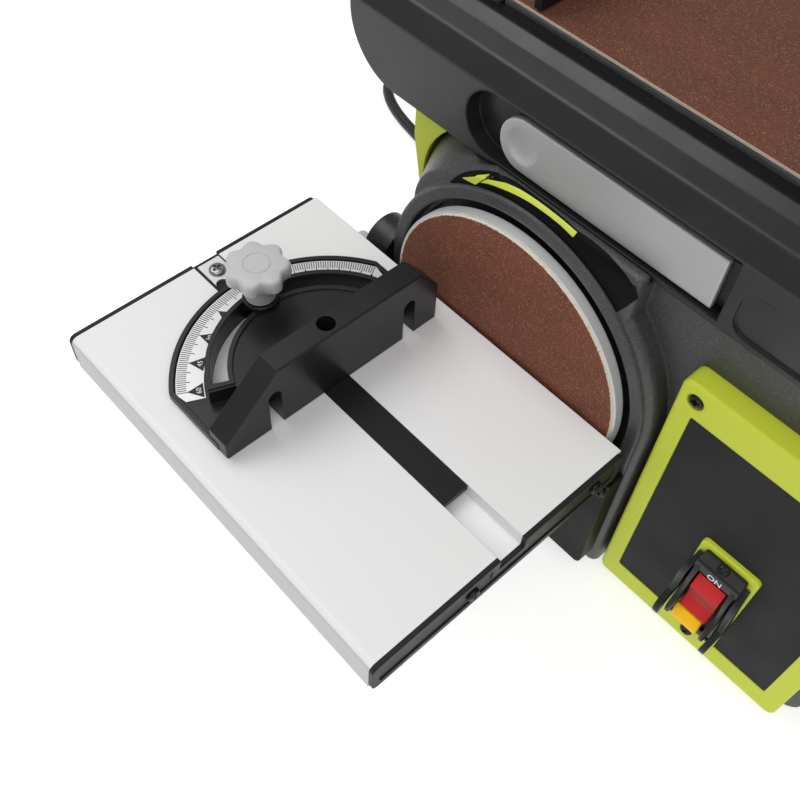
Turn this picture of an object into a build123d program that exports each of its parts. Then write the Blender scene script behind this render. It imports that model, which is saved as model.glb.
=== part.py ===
from build123d import *
import math
import os

os.makedirs("parts", exist_ok=True)

# Bench belt and disc sander.  Millimetres, +Z up, the bench at Z = 0, the user at -Y, the belt runs
# along X.  The origin is the middle of the four bench bolts.

# Abrasives and what turns them
disc_diameter = 150.0
abrasive_thickness = 1.0
abrasive_inset = 1.6
disc_plate_thickness = 6.0
disc_hub_radius = 16.0
disc_hub_length = 9.0
belt_width = 101.6
belt_length = 914.4
belt_thickness = 1.2
drum_diameter = 50.0
drum_length = 100.0
drum_crown = 0.4
pulley_radius = 20.0
pulley_width = 12.0
drive_belt_thickness = 2.5
drive_belt_width = 10.0

# Where the axes and faces stand
disc_x = -65.0
disc_z = 126.5
disc_face_y = -83.0
drum_x = -165.0
belt_front_y = -37.5
table_top_z = 128.0
table_gap = 2.0

# Fits
run_fit = 0.05
press_fit = 0.02
slide_gap = 0.3
curve_gap = 0.3

# Screws: one pan head size holds every cover
screw_head_radius = 3.6
screw_head_height = 2.4
screw_radius = 2.0
screw_length = 18.0

# Cast housing
wall = 5.0
housing_left = -151.0
housing_right = 153.0
housing_bottom = 5.0
housing_top = 212.0
housing_front = -63.0
housing_back = 80.0
shoulder_radius = 46.9
shoulder_drop = 42.0
taper_back_y = -52.0
taper_rate = 0.52
taper_room = 2.0
taper_run = 40.0
ring_step = 0.3
rim_y = -75.0
lip_y = -77.0
lip_bottom = 8.0
lip_round = 1.2
rim_round = 5.0
rim_reach = 60.0
brow_radius = 104.0
brow_rise = 5.7
brow_back_y = -68.5
well_radius = 78.6
lip_radius = 86.0
rim_radius = 90.0
well_step_y = -70.0
well_step = 2.5
well_floor_y = -64.0
well_bottom = 18.0
casting_corner = 14.0
floor_thickness = 6.0
bench_bolt_x = 128.0
bench_bolt_y = 48.0
bench_hole_radius = 4.25
bracket_thickness = 10.0
bracket_radius = 28.0
bracket_root_width = 90.0
bracket_root_height = 30.0
bracket_root_shift = 15.0
trunnion_radius = 18.0
shaft_hole_radius = 12.0
rest_boss_x = 110.0
rest_boss_radius = 12.0
rest_boss_height = 2.5
arm_radius = 32.5

shoulder_z = housing_top - shoulder_drop
shoulder_centre_x = housing_left + shoulder_radius
shoulder_arc = math.degrees(math.asin(shoulder_drop / shoulder_radius))
brow_top = housing_top + brow_rise
drum_z = housing_top + rest_boss_height + arm_radius
disc_radius = disc_diameter / 2
drum_radius = drum_diameter / 2
cavity_front = housing_front + wall
cavity_back = housing_back - wall
bracket_front = housing_back - bracket_thickness


def front_plane(y):
    """Upright plane at depth y seen from the front: local x is X, local y is Z, normal to -Y."""
    return Plane(origin=(0, y, 0), x_dir=(1, 0, 0), z_dir=(0, -1, 0))


def back_plane(y):
    """Upright plane at depth y with its normal to +Y: local x is X, local y is -Z."""
    return Plane(origin=(0, y, 0), x_dir=(1, 0, 0), z_dir=(0, 1, 0))


def side_plane(x):
    """Upright plane at x: local x is Y, local y is Z, normal to +X."""
    return Plane(origin=(x, 0, 0), x_dir=(0, 1, 0), z_dir=(1, 0, 0))


def seat(point, outward):
    """A screw seat: its normal is the way the head faces."""
    return Plane(origin=point, z_dir=outward)


def drill(seats, radius, depth):
    """Drill inward from each seat."""
    with Locations(*seats):
        Cylinder(radius, depth, align=(Align.CENTER, Align.CENTER, Align.MAX), mode=Mode.SUBTRACT)


def pan_screws(seats, length):
    """A pan head on each seat and a shank inward."""
    with Locations(*seats):
        Cylinder(screw_head_radius, screw_head_height, align=(Align.CENTER, Align.CENTER, Align.MIN))
        Cylinder(screw_radius, length, align=(Align.CENTER, Align.CENTER, Align.MAX))


def turned(radius, y_front, y_back, x, z, mode=Mode.ADD):
    """A cylinder lying along Y."""
    with Locations(Plane(origin=(x, y_back, z), z_dir=(0, -1, 0))):
        Cylinder(radius, y_back - y_front, align=(Align.CENTER, Align.CENTER, Align.MIN), mode=mode)


def save(piece, label):
    piece.part.label = label
    export_step(piece.part, f"parts/{label}.step")


# Sanding belt geometry: the centres follow from the belt's nominal length
belt_inner = drum_radius + curve_gap
belt_outer = belt_inner + belt_thickness
centre_distance = (belt_length - 2 * math.pi * (belt_inner + belt_thickness / 2)) / 2
idler_x = drum_x + centre_distance
belt_back_y = belt_front_y + belt_width
belt_mid_y = belt_front_y + belt_width / 2
drum_front_y = belt_mid_y - drum_length / 2
drum_back_y = belt_mid_y + drum_length / 2

# Table and its tilt
table_left = -209.5
table_right = 21.0
table_depth = 159.0
table_height = 21.7
table_skin = 5.0
table_edge_radius = 4.0
skirt = 4.0
end_cap_thickness = 2.5
mitre_slot_width = 16.2
mitre_slot_depth = 8.0
mitre_slot_y = -161.0
channel_wall = 3.0
tilt_y = -97.0
tilt_z = 97.0
tilt_deg = 45.0
tilt_pin_radius = 4.0
tilt_eye_radius = 8.0
lock_y = -75.0
lock_z = 92.0
lock_stud_radius = 4.0
lock_stud_depth = 10.0
lock_hole_depth = 14.0
lug_y = -68.0
lug_z = 117.0
lug_radius = 15.0
lug_face_x = -168.0
lug_foot_z = 74.0
lug_guard_gap = 1.5
table_back = disc_face_y - table_gap
table_front = table_back - table_depth
table_bottom = table_top_z - table_height

# Front panel, inset and switch opening
panel_left = 28.0
panel_right = 146.0
panel_bottom = 9.0
panel_top = 187.5
panel_face_y = -75.0
panel_wall = 2.5
panel_corner = 5.0
panel_round = 2.0
panel_post_radius = 5.0
inset_left = 38.0
inset_right = 135.5
inset_bottom = 25.0
inset_top = 168.2
inset_depth = 1.2
inset_sheet = 0.8
inset_corner = 1.5
switch_x = 86.5
switch_z = 61.0
pad_rise = 2.0
pad_corner = 3.0
pad_round = 1.0
switch_body_width = 21.0
switch_body_height = 60.0
switch_gap = 0.5
bezel_border = 10.0
bezel_drop = 1.0
pad_border = 2.0
pad_border_side = 3.0
panel_screw_inset_x = 9.0
panel_screw_sink = 2.0
panel_sink_radius = 4.4
panel_screw_top = 178.0

bezel_width = switch_body_width + 2 * pad_border_side
bezel_height = switch_body_height + 2 * bezel_border
bezel_z = switch_z - bezel_drop
pad_width = bezel_width + 2 * pad_border_side
pad_height = bezel_height + 2 * pad_border

panel_seats = [
    seat((x, panel_face_y + panel_screw_sink, panel_screw_top), (0, -1, 0))
    for x in (panel_left + panel_screw_inset_x, panel_right - panel_screw_inset_x)
]

# Lower disc guard
guard_front_y = -88.5
guard_sheet = 2.5
guard_half_width = 86.5
guard_bottom = 16.0
guard_top = 100.0
guard_corner = 3.5
guard_round = 1.5
guard_ear_left = 4.0
guard_ear_width = 6.0
guard_post_radius = 3.5
guard_screw_z = 94.0
guard_screw_reach = 4.2
guard_seats = [
    seat((disc_x + side * (well_radius + guard_screw_reach), guard_front_y, guard_screw_z), (0, -1, 0))
    for side in (-1, 1)
]

# Rear cover and base plate
cover_depth = 23.0
cover_wall = 2.5
cover_ear_radius = 6.0
cover_ear_overlap = 1.0
rear_cover_round = 4.0
base_plate_sheet = 1.5
base_plate_x = 105.0
base_plate_front = -44.0
base_plate_back = 60.0
floor_open_x = 92.0
floor_open_front = -34.0
floor_open_back = 50.0
base_screw_x = 98.0
base_screw_inset = 5.0
base_seats = [
    seat((x, y, housing_bottom - base_plate_sheet), (0, 0, -1))
    for x in (-base_screw_x, base_screw_x)
    for y in (base_plate_front + base_screw_inset, base_plate_back - base_screw_inset)
]
base_plate_corner = 5.0
vent_pitch = 22.0
vent_count = 6
vent_length = 50.0
vent_width = 6.0
feet_radius = 14.0
drive_angle = math.degrees(math.atan2(drum_z - disc_z, drum_x - disc_x))
drive_span = math.hypot(drum_z - disc_z, drum_x - disc_x)
drive_mid = ((drum_x + disc_x) / 2, (drum_z + disc_z) / 2)
drive_across = (math.sin(math.radians(drive_angle)), -math.cos(math.radians(drive_angle)))
cover_ear_reach = bracket_radius + cover_ear_radius - cover_ear_overlap
cover_seats = [
    seat(
        (
            drive_mid[0] + side * cover_ear_reach * drive_across[0] + shift[0],
            housing_back + cover_wall,
            drive_mid[1] + side * cover_ear_reach * drive_across[1] + shift[1],
        ),
        (0, 1, 0),
    )
    for side, shift in ((1, (25.0, -30.1)), (-1, (38.0, -45.8)))
]

# Switch bezel
bezel_sheet = 3.0
bezel_corner = 3.0
bezel_screw_gap = 2.5
bezel_face_y = panel_face_y - pad_rise - bezel_sheet
bezel_screw_reach = switch_body_height / 2 + switch_gap + screw_radius + bezel_screw_gap
bezel_seats = [
    seat((switch_x, bezel_face_y, switch_z + side * bezel_screw_reach), (0, -1, 0)) for side in (-1, 1)
]

cover_screw_seats = panel_seats + guard_seats + cover_seats + base_seats + bezel_seats
tip_room = 0.5

# Arm lock, on the bracket's left edge
arm_lock_stud_radius = 3.0
arm_lock_seat = seat((drum_x - bracket_radius, housing_back - bracket_thickness / 2, drum_z), (-1, 0, 0))

# Cord entry in the left wall
cord_diameter = 8.5
gland_y = 55.0
gland_z = 38.0
gland_hole_radius = 8.0



def taper_plane(turn):
    """A plane through the shoulder's axis, turned up from the left wall; its x runs outwards."""
    lean = math.radians(turn)
    return Plane(
        origin=(shoulder_centre_x, 0, shoulder_z),
        x_dir=(-math.cos(lean), 0, math.sin(lean)),
        z_dir=(-math.sin(lean), 0, -math.cos(lean)),
    )


def taper_section():
    """What the casting's draft takes off its left shoulder in front."""
    Polygon(
        (shoulder_radius + taper_room, taper_back_y + taper_room / taper_rate),
        (shoulder_radius - taper_rate * (taper_back_y - rim_y + taper_room), rim_y - taper_room),
        (shoulder_radius + taper_room, rim_y - taper_room),
        align=None,
    )


# Housing: a hollow iron casting with the disc's well in front and the arm's bracket behind
with BuildPart() as main_housing:
    with BuildSketch(front_plane(housing_back)):
        with BuildLine():
            left_side = Line((housing_left, housing_bottom), (housing_left, shoulder_z))
            shoulder_x = housing_left + shoulder_radius - math.sqrt(
                shoulder_radius**2 - (housing_top - shoulder_z) ** 2
            )
            shoulder = RadiusArc(left_side @ 1, (shoulder_x, housing_top), shoulder_radius)
            FilletPolyline(
                shoulder @ 1,
                (housing_right, housing_top),
                (housing_right, housing_bottom),
                left_side @ 0,
                radius=casting_corner,
            )
        make_face()
    extrude(amount=housing_back - housing_front)
    with BuildSketch(front_plane(housing_front)):
        with BuildLine():
            rim_left = Line((housing_left, housing_bottom), (housing_left, shoulder_z))
            rim_shoulder = RadiusArc(rim_left @ 1, (shoulder_x, housing_top), shoulder_radius)
            rim_top = Line(rim_shoulder @ 1, (disc_x + rim_reach, housing_top))
            rim_drop = Line(
                rim_top @ 1, (disc_x + rim_reach, disc_z + math.sqrt(rim_radius**2 - rim_reach**2))
            )
            rim_arc = RadiusArc(rim_drop @ 1, (disc_x + rim_radius, disc_z), rim_radius)
            rim_right = Line(rim_arc @ 1, (disc_x + rim_radius, housing_bottom))
            Line(rim_right @ 1, rim_left @ 0)
        make_face()
    extrude(amount=housing_front - rim_y)
    with BuildSketch(front_plane(brow_back_y)):
        with BuildLine():
            brow_left = disc_x - math.sqrt(brow_radius**2 - (housing_top - disc_z) ** 2)
            brow_corner = disc_x - math.sqrt(brow_radius**2 - (brow_top - disc_z) ** 2)
            brow_arc = RadiusArc((brow_left, housing_top), (brow_corner, brow_top), brow_radius)
            Polyline(
                brow_arc @ 1,
                (disc_x + rim_reach, brow_top),
                (disc_x + rim_reach, housing_top),
                brow_arc @ 0,
            )
        make_face()
    extrude(amount=brow_back_y - rim_y)
    rim_edges = main_housing.edges().group_by(Axis.Y)[0].sort_by(Axis.Z)[1:]
    fillet(rim_edges.filter_by_position(Axis.X, shoulder_x, housing_right), radius=rim_round)
    for turn, run in ((0, shoulder_z - disc_z), (shoulder_arc, -taper_run)):
        with BuildSketch(taper_plane(turn)):
            taper_section()
        extrude(amount=run, mode=Mode.SUBTRACT)
    with BuildSketch(taper_plane(0)):
        taper_section()
    revolve(
        axis=Axis((shoulder_centre_x, 0, shoulder_z), (0, 1, 0)),
        revolution_arc=shoulder_arc,
        mode=Mode.SUBTRACT,
    )
    with BuildSketch(front_plane(taper_back_y)):
        with Locations((disc_x, disc_z)):
            Circle(lip_radius - ring_step)
    extrude(amount=taper_back_y - rim_y)
    with BuildSketch(front_plane(rim_y)):
        with Locations((disc_x, disc_z)):
            Circle(lip_radius)
            Rectangle(2 * lip_radius, disc_z - lip_bottom, align=(Align.CENTER, Align.MAX))
    extrude(amount=rim_y - lip_y)
    with BuildSketch(front_plane(well_step_y)):
        with Locations((disc_x, disc_z)):
            Circle(well_radius)
            Rectangle(2 * well_radius, disc_z - well_bottom, align=(Align.CENTER, Align.MAX))
    extrude(amount=well_step_y - lip_y, mode=Mode.SUBTRACT)
    with BuildSketch(front_plane(well_floor_y)):
        with Locations((disc_x, disc_z)):
            Circle(well_radius - well_step)
            Rectangle(
                2 * (well_radius - well_step), disc_z - well_bottom - well_step,
                align=(Align.CENTER, Align.MAX),
            )
    extrude(amount=well_floor_y - well_step_y, mode=Mode.SUBTRACT)
    fillet(main_housing.edges().group_by(Axis.Y)[0], radius=lip_round)
    with BuildSketch(front_plane(cavity_back)):
        with BuildLine():
            inner_left = Line(
                (housing_left + wall, housing_bottom + floor_thickness), (housing_left + wall, shoulder_z)
            )
            inner_radius = shoulder_radius - wall
            inner_top = housing_top - wall
            inner_shoulder_x = housing_left + shoulder_radius - math.sqrt(
                inner_radius**2 - (inner_top - shoulder_z) ** 2
            )
            inner_shoulder = RadiusArc(inner_left @ 1, (inner_shoulder_x, inner_top), inner_radius)
            FilletPolyline(
                inner_shoulder @ 1,
                (housing_right - wall, inner_top),
                (housing_right - wall, housing_bottom + floor_thickness),
                inner_left @ 0,
                radius=casting_corner - wall,
            )
        make_face()
    extrude(amount=cavity_back - cavity_front, mode=Mode.SUBTRACT)
    with BuildSketch(front_plane(housing_back)):
        with Locations(drive_mid):
            SlotCenterToCenter(drive_span, 2 * bracket_radius, rotation=drive_angle)
        with Locations((drive_mid[0] + bracket_root_shift, housing_top)):
            Rectangle(bracket_root_width, bracket_root_height, align=(Align.CENTER, Align.MAX))
    extrude(amount=bracket_thickness)
    with BuildSketch(front_plane(housing_back)):
        with Locations((drum_x, drum_z)):
            Circle(trunnion_radius)
        with Locations((disc_x, disc_z)):
            Circle(shaft_hole_radius)
    extrude(amount=bracket_thickness, mode=Mode.SUBTRACT)
    turned(shaft_hole_radius, well_floor_y, cavity_front, disc_x, disc_z, mode=Mode.SUBTRACT)
    with BuildSketch(Plane.XY.offset(housing_bottom)):
        with Locations((0, (floor_open_front + floor_open_back) / 2)):
            Rectangle(2 * floor_open_x, floor_open_back - floor_open_front)
        with GridLocations(2 * bench_bolt_x, 2 * bench_bolt_y, 2, 2):
            Circle(bench_hole_radius)
    extrude(amount=floor_thickness, mode=Mode.SUBTRACT)
    with BuildSketch(Plane.XY.offset(housing_top)):
        with Locations((rest_boss_x, belt_mid_y)):
            Circle(rest_boss_radius)
    extrude(amount=rest_boss_height)
    with BuildSketch(side_plane(lug_face_x)):
        with BuildLine():
            Polyline(
                (lug_y + lug_radius, lug_foot_z),
                (lug_y + lug_radius, lug_z),
                (lug_y - lug_radius, lug_z),
                (lug_y - lug_radius, tilt_z + tilt_eye_radius),
                (tilt_y, tilt_z + tilt_eye_radius),
                (tilt_y, tilt_z - tilt_eye_radius),
                (lug_y - lug_radius, lug_foot_z),
                close=True,
            )
        make_face()
        with Locations((lug_y, lug_z)):
            Circle(lug_radius)
        with Locations((tilt_y, tilt_z)):
            Circle(tilt_eye_radius)
    extrude(amount=housing_left - lug_face_x)
    with BuildSketch(front_plane(rim_y)):
        with Locations((housing_left, lug_foot_z)):
            Rectangle(lug_guard_gap, lug_z + lug_radius - lug_foot_z, align=(Align.MAX, Align.MIN))
    extrude(amount=rim_y - tilt_y + 2 * tilt_eye_radius, mode=Mode.SUBTRACT)
    with Locations(seat((lug_face_x, tilt_y, tilt_z), (-1, 0, 0))):
        Cylinder(
            tilt_pin_radius + run_fit,
            housing_left - lug_face_x,
            align=(Align.CENTER, Align.CENTER, Align.MAX),
            mode=Mode.SUBTRACT,
        )
    drill([seat((lug_face_x, lock_y, lock_z), (-1, 0, 0))], lock_stud_radius + run_fit, lock_hole_depth)
    drill([seat((housing_left, gland_y, gland_z), (-1, 0, 0))], gland_hole_radius, wall)
    with BuildSketch(front_plane(cavity_front)):
        with Locations((switch_x, switch_z)):
            Rectangle(switch_body_width + 2 * switch_gap, switch_body_height + 2 * switch_gap)
    extrude(amount=wall, mode=Mode.SUBTRACT)
    drill(cover_screw_seats, screw_radius + run_fit, screw_length + tip_room)
    drill([arm_lock_seat], arm_lock_stud_radius + run_fit, bracket_radius - trunnion_radius + tip_room)
save(main_housing, "main_housing")

# Base: a steel closing plate under the floor and a rubber foot round each bench bolt
with BuildPart() as base_plate:
    with BuildSketch(Plane.XY.offset(housing_bottom - base_plate_sheet)):
        with Locations((0, (base_plate_front + base_plate_back) / 2)):
            RectangleRounded(2 * base_plate_x, base_plate_back - base_plate_front, base_plate_corner)
        with Locations((0, (base_plate_front + base_plate_back) / 2)):
            with GridLocations(vent_pitch, 0, vent_count, 1):
                SlotOverall(vent_length, vent_width, rotation=90, mode=Mode.SUBTRACT)
    extrude(amount=base_plate_sheet)
    drill(base_seats, screw_radius + run_fit, base_plate_sheet)
save(base_plate, "base_plate")

with BuildPart() as rubber_feet:
    with BuildSketch():
        with GridLocations(2 * bench_bolt_x, 2 * bench_bolt_y, 2, 2):
            Circle(feet_radius)
            Circle(bench_hole_radius, mode=Mode.SUBTRACT)
    extrude(amount=housing_bottom)
save(rubber_feet, "rubber_feet")

# Lower disc guard: an open-topped sheet box over the lower half of the disc, with the table's right eye
guard_inner = guard_half_width - guard_sheet
with BuildPart() as lower_guard:
    with BuildSketch(front_plane(lip_y)) as guard_outline:
        with Locations((disc_x, guard_top)):
            Rectangle(2 * guard_half_width, guard_top - guard_bottom, align=(Align.CENTER, Align.MAX))
        fillet(guard_outline.vertices().group_by(Axis.Y)[0], radius=guard_corner)
    extrude(amount=lip_y - guard_front_y)
    fillet(lower_guard.edges().group_by(Axis.Y)[0].sort_by(Axis.Z)[:-1], radius=guard_round)
    with BuildSketch(front_plane(lip_y)) as guard_hollow:
        with Locations((disc_x, guard_top)):
            Rectangle(
                2 * guard_inner, guard_top - guard_bottom - guard_sheet, align=(Align.CENTER, Align.MAX)
            )
        fillet(guard_hollow.vertices().group_by(Axis.Y)[0], radius=guard_corner - guard_sheet)
    extrude(amount=lip_y - guard_front_y - guard_sheet, mode=Mode.SUBTRACT)
    with Locations(*guard_seats):
        Cylinder(
            guard_post_radius, lip_y - guard_front_y, align=(Align.CENTER, Align.CENTER, Align.MAX)
        )
    with BuildSketch(side_plane(guard_ear_left)):
        with Locations((tilt_y, tilt_z)):
            Circle(tilt_eye_radius)
            Rectangle(guard_front_y - tilt_y, 2 * tilt_eye_radius, align=(Align.MIN, Align.CENTER))
        with Locations((tilt_y, tilt_z)):
            Circle(tilt_pin_radius + run_fit, mode=Mode.SUBTRACT)
    extrude(amount=guard_ear_width)
    drill(guard_seats, screw_radius + run_fit, screw_length)
save(lower_guard, "lower_guard")

# Left cover: a folded shell on the housing's shoulder, under the arm's drum end
left_cover_x = -159.5
left_cover_fold_z = 188.0
left_cover_bottom = 150.0
left_cover_top = 210.5
left_cover_front = -57.0
left_cover_back = 69.0
left_cover_wall = 2.5
left_cover_lip = 16.0
with BuildPart() as left_cover:
    with BuildSketch(front_plane(left_cover_back)):
        with BuildLine():
            Polyline(
                (housing_left - curve_gap, left_cover_bottom),
                (left_cover_x, left_cover_fold_z),
                (left_cover_x, left_cover_top),
                (shoulder_centre_x, left_cover_top),
                (shoulder_centre_x, left_cover_bottom),
                close=True,
            )
        make_face()
    extrude(amount=left_cover_back - left_cover_front)
    with BuildSketch(front_plane(left_cover_back)):
        with Locations((shoulder_centre_x, shoulder_z)):
            Circle(shoulder_radius + curve_gap)
            Rectangle(2 * (shoulder_radius + curve_gap), shoulder_z, align=(Align.CENTER, Align.MAX))
    extrude(amount=left_cover_back - left_cover_front, mode=Mode.SUBTRACT)
    with BuildSketch(front_plane(left_cover_back - left_cover_wall)):
        with BuildLine():
            Polyline(
                (housing_left, left_cover_bottom + left_cover_lip),
                (left_cover_x + left_cover_wall, left_cover_fold_z),
                (left_cover_x + left_cover_wall, left_cover_top - left_cover_wall),
                (shoulder_centre_x, left_cover_top - left_cover_wall),
                (shoulder_centre_x, left_cover_bottom + left_cover_lip),
                close=True,
            )
        make_face()
    extrude(amount=left_cover_back - left_cover_front - 2 * left_cover_wall, mode=Mode.SUBTRACT)
save(left_cover, "left_cover")

# Rear cover: a moulded shell over the two pulleys and their belt
with BuildPart() as rear_cover:
    with BuildSketch(back_plane(housing_back)):
        with Locations((drive_mid[0], -drive_mid[1])):
            SlotCenterToCenter(drive_span, 2 * bracket_radius, rotation=-drive_angle)
    extrude(amount=cover_depth)
    fillet(rear_cover.edges().group_by(Axis.Y)[-1], radius=rear_cover_round)
    with Locations(*cover_seats):
        Cylinder(cover_ear_radius, cover_wall, align=(Align.CENTER, Align.CENTER, Align.MAX))
    with BuildSketch(back_plane(housing_back)):
        with Locations((drive_mid[0], -drive_mid[1])):
            SlotCenterToCenter(drive_span, 2 * (bracket_radius - cover_wall), rotation=-drive_angle)
    extrude(amount=cover_depth - cover_wall, mode=Mode.SUBTRACT)
    drill(cover_seats, screw_radius + run_fit, cover_wall)
save(rear_cover, "rear_cover")

# Front panel: a moulded frame on the housing's front, a raised pad round the switch, a dark inset sheet
panel_width = panel_right - panel_left
panel_height = panel_top - panel_bottom
panel_mid = ((panel_left + panel_right) / 2, (panel_bottom + panel_top) / 2)
inset_width = inset_right - inset_left
inset_height = inset_top - inset_bottom
inset_mid = ((inset_left + inset_right) / 2, (inset_bottom + inset_top) / 2)
inset_fit = 0.2
with BuildPart() as front_panel:
    with BuildSketch(front_plane(housing_front)):
        with Locations(panel_mid):
            RectangleRounded(panel_width, panel_height, panel_corner)
    extrude(amount=housing_front - panel_face_y)
    fillet(front_panel.edges().group_by(Axis.Y)[0], radius=panel_round)
    with BuildSketch(front_plane(housing_front)):
        with Locations(panel_mid):
            RectangleRounded(
                panel_width - 2 * panel_wall, panel_height - 2 * panel_wall, panel_corner - panel_wall
            )
    extrude(amount=housing_front - panel_face_y - panel_wall, mode=Mode.SUBTRACT)
    with Locations(*panel_seats):
        Cylinder(
            panel_post_radius, housing_front - panel_face_y - panel_screw_sink,
            align=(Align.CENTER, Align.CENTER, Align.MAX),
        )
        Cylinder(
            panel_sink_radius, panel_screw_sink, align=(Align.CENTER, Align.CENTER, Align.MIN),
            mode=Mode.SUBTRACT,
        )
    with BuildSketch(front_plane(panel_face_y + inset_depth)):
        with Locations(inset_mid):
            RectangleRounded(inset_width, inset_height, inset_corner)
        with Locations((switch_x, switch_z)):
            RectangleRounded(pad_width, pad_height, pad_corner, mode=Mode.SUBTRACT)
    extrude(amount=inset_depth, mode=Mode.SUBTRACT)
    with BuildSketch(front_plane(panel_face_y)):
        with Locations((switch_x, switch_z)):
            RectangleRounded(pad_width, pad_height, pad_corner)
    extrude(amount=pad_rise)
    fillet(front_panel.edges().group_by(Axis.Y)[0], radius=pad_round)
    with BuildSketch(front_plane(housing_front)):
        with Locations((switch_x, switch_z)):
            Rectangle(switch_body_width + 2 * switch_gap, switch_body_height + 2 * switch_gap)
    extrude(amount=housing_front - panel_face_y + pad_rise, mode=Mode.SUBTRACT)
    drill(panel_seats + bezel_seats, screw_radius + run_fit, screw_length)
save(front_panel, "front_panel")

with BuildPart() as panel_inset:
    with BuildSketch(front_plane(panel_face_y + inset_depth)):
        with Locations(inset_mid):
            RectangleRounded(inset_width - 2 * inset_fit, inset_height - 2 * inset_fit, inset_corner)
        with Locations((switch_x, switch_z)):
            RectangleRounded(
                pad_width + 2 * inset_fit, pad_height + 2 * inset_fit, pad_corner, mode=Mode.SUBTRACT
            )
    extrude(amount=inset_sheet)
save(panel_inset, "panel_inset")

# Switch: bezel with two guard wings, body through the panel, rocking paddle and pull-out safety key
paddle_width = 16.4
paddle_end_gap = 4.0
paddle_key_gap = 2.5
switch_corner = 1.0
paddle_axis_y = -74.0
paddle_thickness = 5.0
paddle_back = 6.4
paddle_tilt = 8.0
rocker_width = 9.0
rocker_height = 6.0
rocker_depth = 4.0
paddle_pin_radius = 1.5
paddle_pin_grip = 2.0
key_seat = 1.0
rocker_room_width = 11.0
rocker_room_height = 17.0
rocker_room_depth = 10.0
paddle_pin_length = rocker_room_width + 2 * paddle_pin_grip
key_width = 15.0
key_end_gap = 5.0
key_height = 13.5
key_face_y = -83.2
key_round = 0.8
key_stem_width = 9.0
key_stem_height = 7.0
key_stem_length = 17.0
wing_width = 3.5
wing_crest_y = -86.5
wing_crest_drop = 2.0
wing_waist_y = -83.5
wing_waist_z = 68.0
wing_tip_y = -94.0
wing_tip_z = 43.5
wing_tip_depth = 4.5
wing_tip_rise = 5.0
wing_foot_z = 56.0
wing_top_drop = 2.0
wing_round = 1.0
bezel_open_width = 18.6
bezel_open_gap = 1.0
key_bottom = switch_z - switch_body_height / 2 + key_end_gap
key_top = key_bottom + key_height
key_z = (key_bottom + key_top) / 2
paddle_bottom = key_top + paddle_key_gap
paddle_top = switch_z + switch_body_height / 2 - paddle_end_gap
paddle_height = paddle_top - paddle_bottom
paddle_z = (paddle_bottom + paddle_top) / 2
bezel_open_bottom = key_bottom - bezel_open_gap
bezel_open_top = paddle_top + paddle_key_gap
bezel_back_y = bezel_face_y + bezel_sheet
wing_top = bezel_z + bezel_height / 2 - wing_top_drop
with BuildPart() as switch_bezel:
    with BuildSketch(front_plane(bezel_back_y)):
        with Locations((switch_x, bezel_z)):
            RectangleRounded(bezel_width, bezel_height, bezel_corner)
        with Locations((switch_x, (bezel_open_bottom + bezel_open_top) / 2)):
            RectangleRounded(
                bezel_open_width, bezel_open_top - bezel_open_bottom, switch_corner, mode=Mode.SUBTRACT
            )
    extrude(amount=bezel_sheet)
    for wing_x in (switch_x - bezel_width / 2, switch_x + bezel_width / 2 - wing_width):
        with BuildSketch(side_plane(wing_x)):
            with BuildLine():
                wing_edge = FilletPolyline(
                    (bezel_face_y, wing_foot_z),
                    (wing_tip_y + wing_tip_depth, wing_tip_z),
                    (wing_tip_y, wing_tip_z),
                    (wing_tip_y, wing_tip_z + wing_tip_rise),
                    (wing_waist_y, wing_waist_z),
                    (wing_crest_y, wing_top - wing_crest_drop),
                    (bezel_face_y, wing_top),
                    radius=wing_round,
                )
                Line(wing_edge @ 1, wing_edge @ 0)
            make_face()
        extrude(amount=wing_width)
    drill(bezel_seats, screw_radius + run_fit, bezel_sheet)
save(switch_bezel, "switch_bezel")

switch_body_depth = 32.0
with BuildPart() as switch_body:
    with BuildSketch(front_plane(bezel_back_y + switch_body_depth)):
        with Locations((switch_x, switch_z)):
            Rectangle(switch_body_width, switch_body_height)
    extrude(amount=switch_body_depth)
    with BuildSketch(front_plane(bezel_back_y)):
        with Locations((switch_x, paddle_z)):
            Rectangle(rocker_room_width, rocker_room_height)
    extrude(amount=-rocker_room_depth, mode=Mode.SUBTRACT)
    with BuildSketch(front_plane(bezel_back_y)):
        with Locations((switch_x, key_z)):
            Rectangle(key_stem_width + 2 * slide_gap, key_stem_height + 2 * slide_gap)
    extrude(amount=-key_stem_length, mode=Mode.SUBTRACT)
    with Locations(seat((switch_x, paddle_axis_y, paddle_z), (1, 0, 0))):
        Cylinder(paddle_pin_radius + run_fit, paddle_pin_length + 2 * slide_gap, mode=Mode.SUBTRACT)
save(switch_body, "switch_body")

with BuildPart() as switch_paddle:
    paddle_plane = Plane(
        origin=(switch_x, paddle_axis_y, paddle_z), x_dir=(1, 0, 0), z_dir=(0, -1, 0)
    ).rotated((paddle_tilt, 0, 0))
    with BuildSketch(paddle_plane.offset(paddle_back)):
        RectangleRounded(paddle_width, paddle_height, switch_corner)
    extrude(amount=paddle_thickness)
    fillet(switch_paddle.edges().filter_by(GeomType.LINE).group_by(Axis.Y)[0], radius=switch_corner)
    with BuildSketch(paddle_plane.offset(paddle_back)):
        Rectangle(rocker_width, rocker_height)
    extrude(amount=-paddle_back - rocker_depth)
    with Locations(seat((switch_x, paddle_axis_y, paddle_z), (1, 0, 0))):
        Cylinder(paddle_pin_radius, paddle_pin_length)
save(switch_paddle, "switch_paddle")

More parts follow.
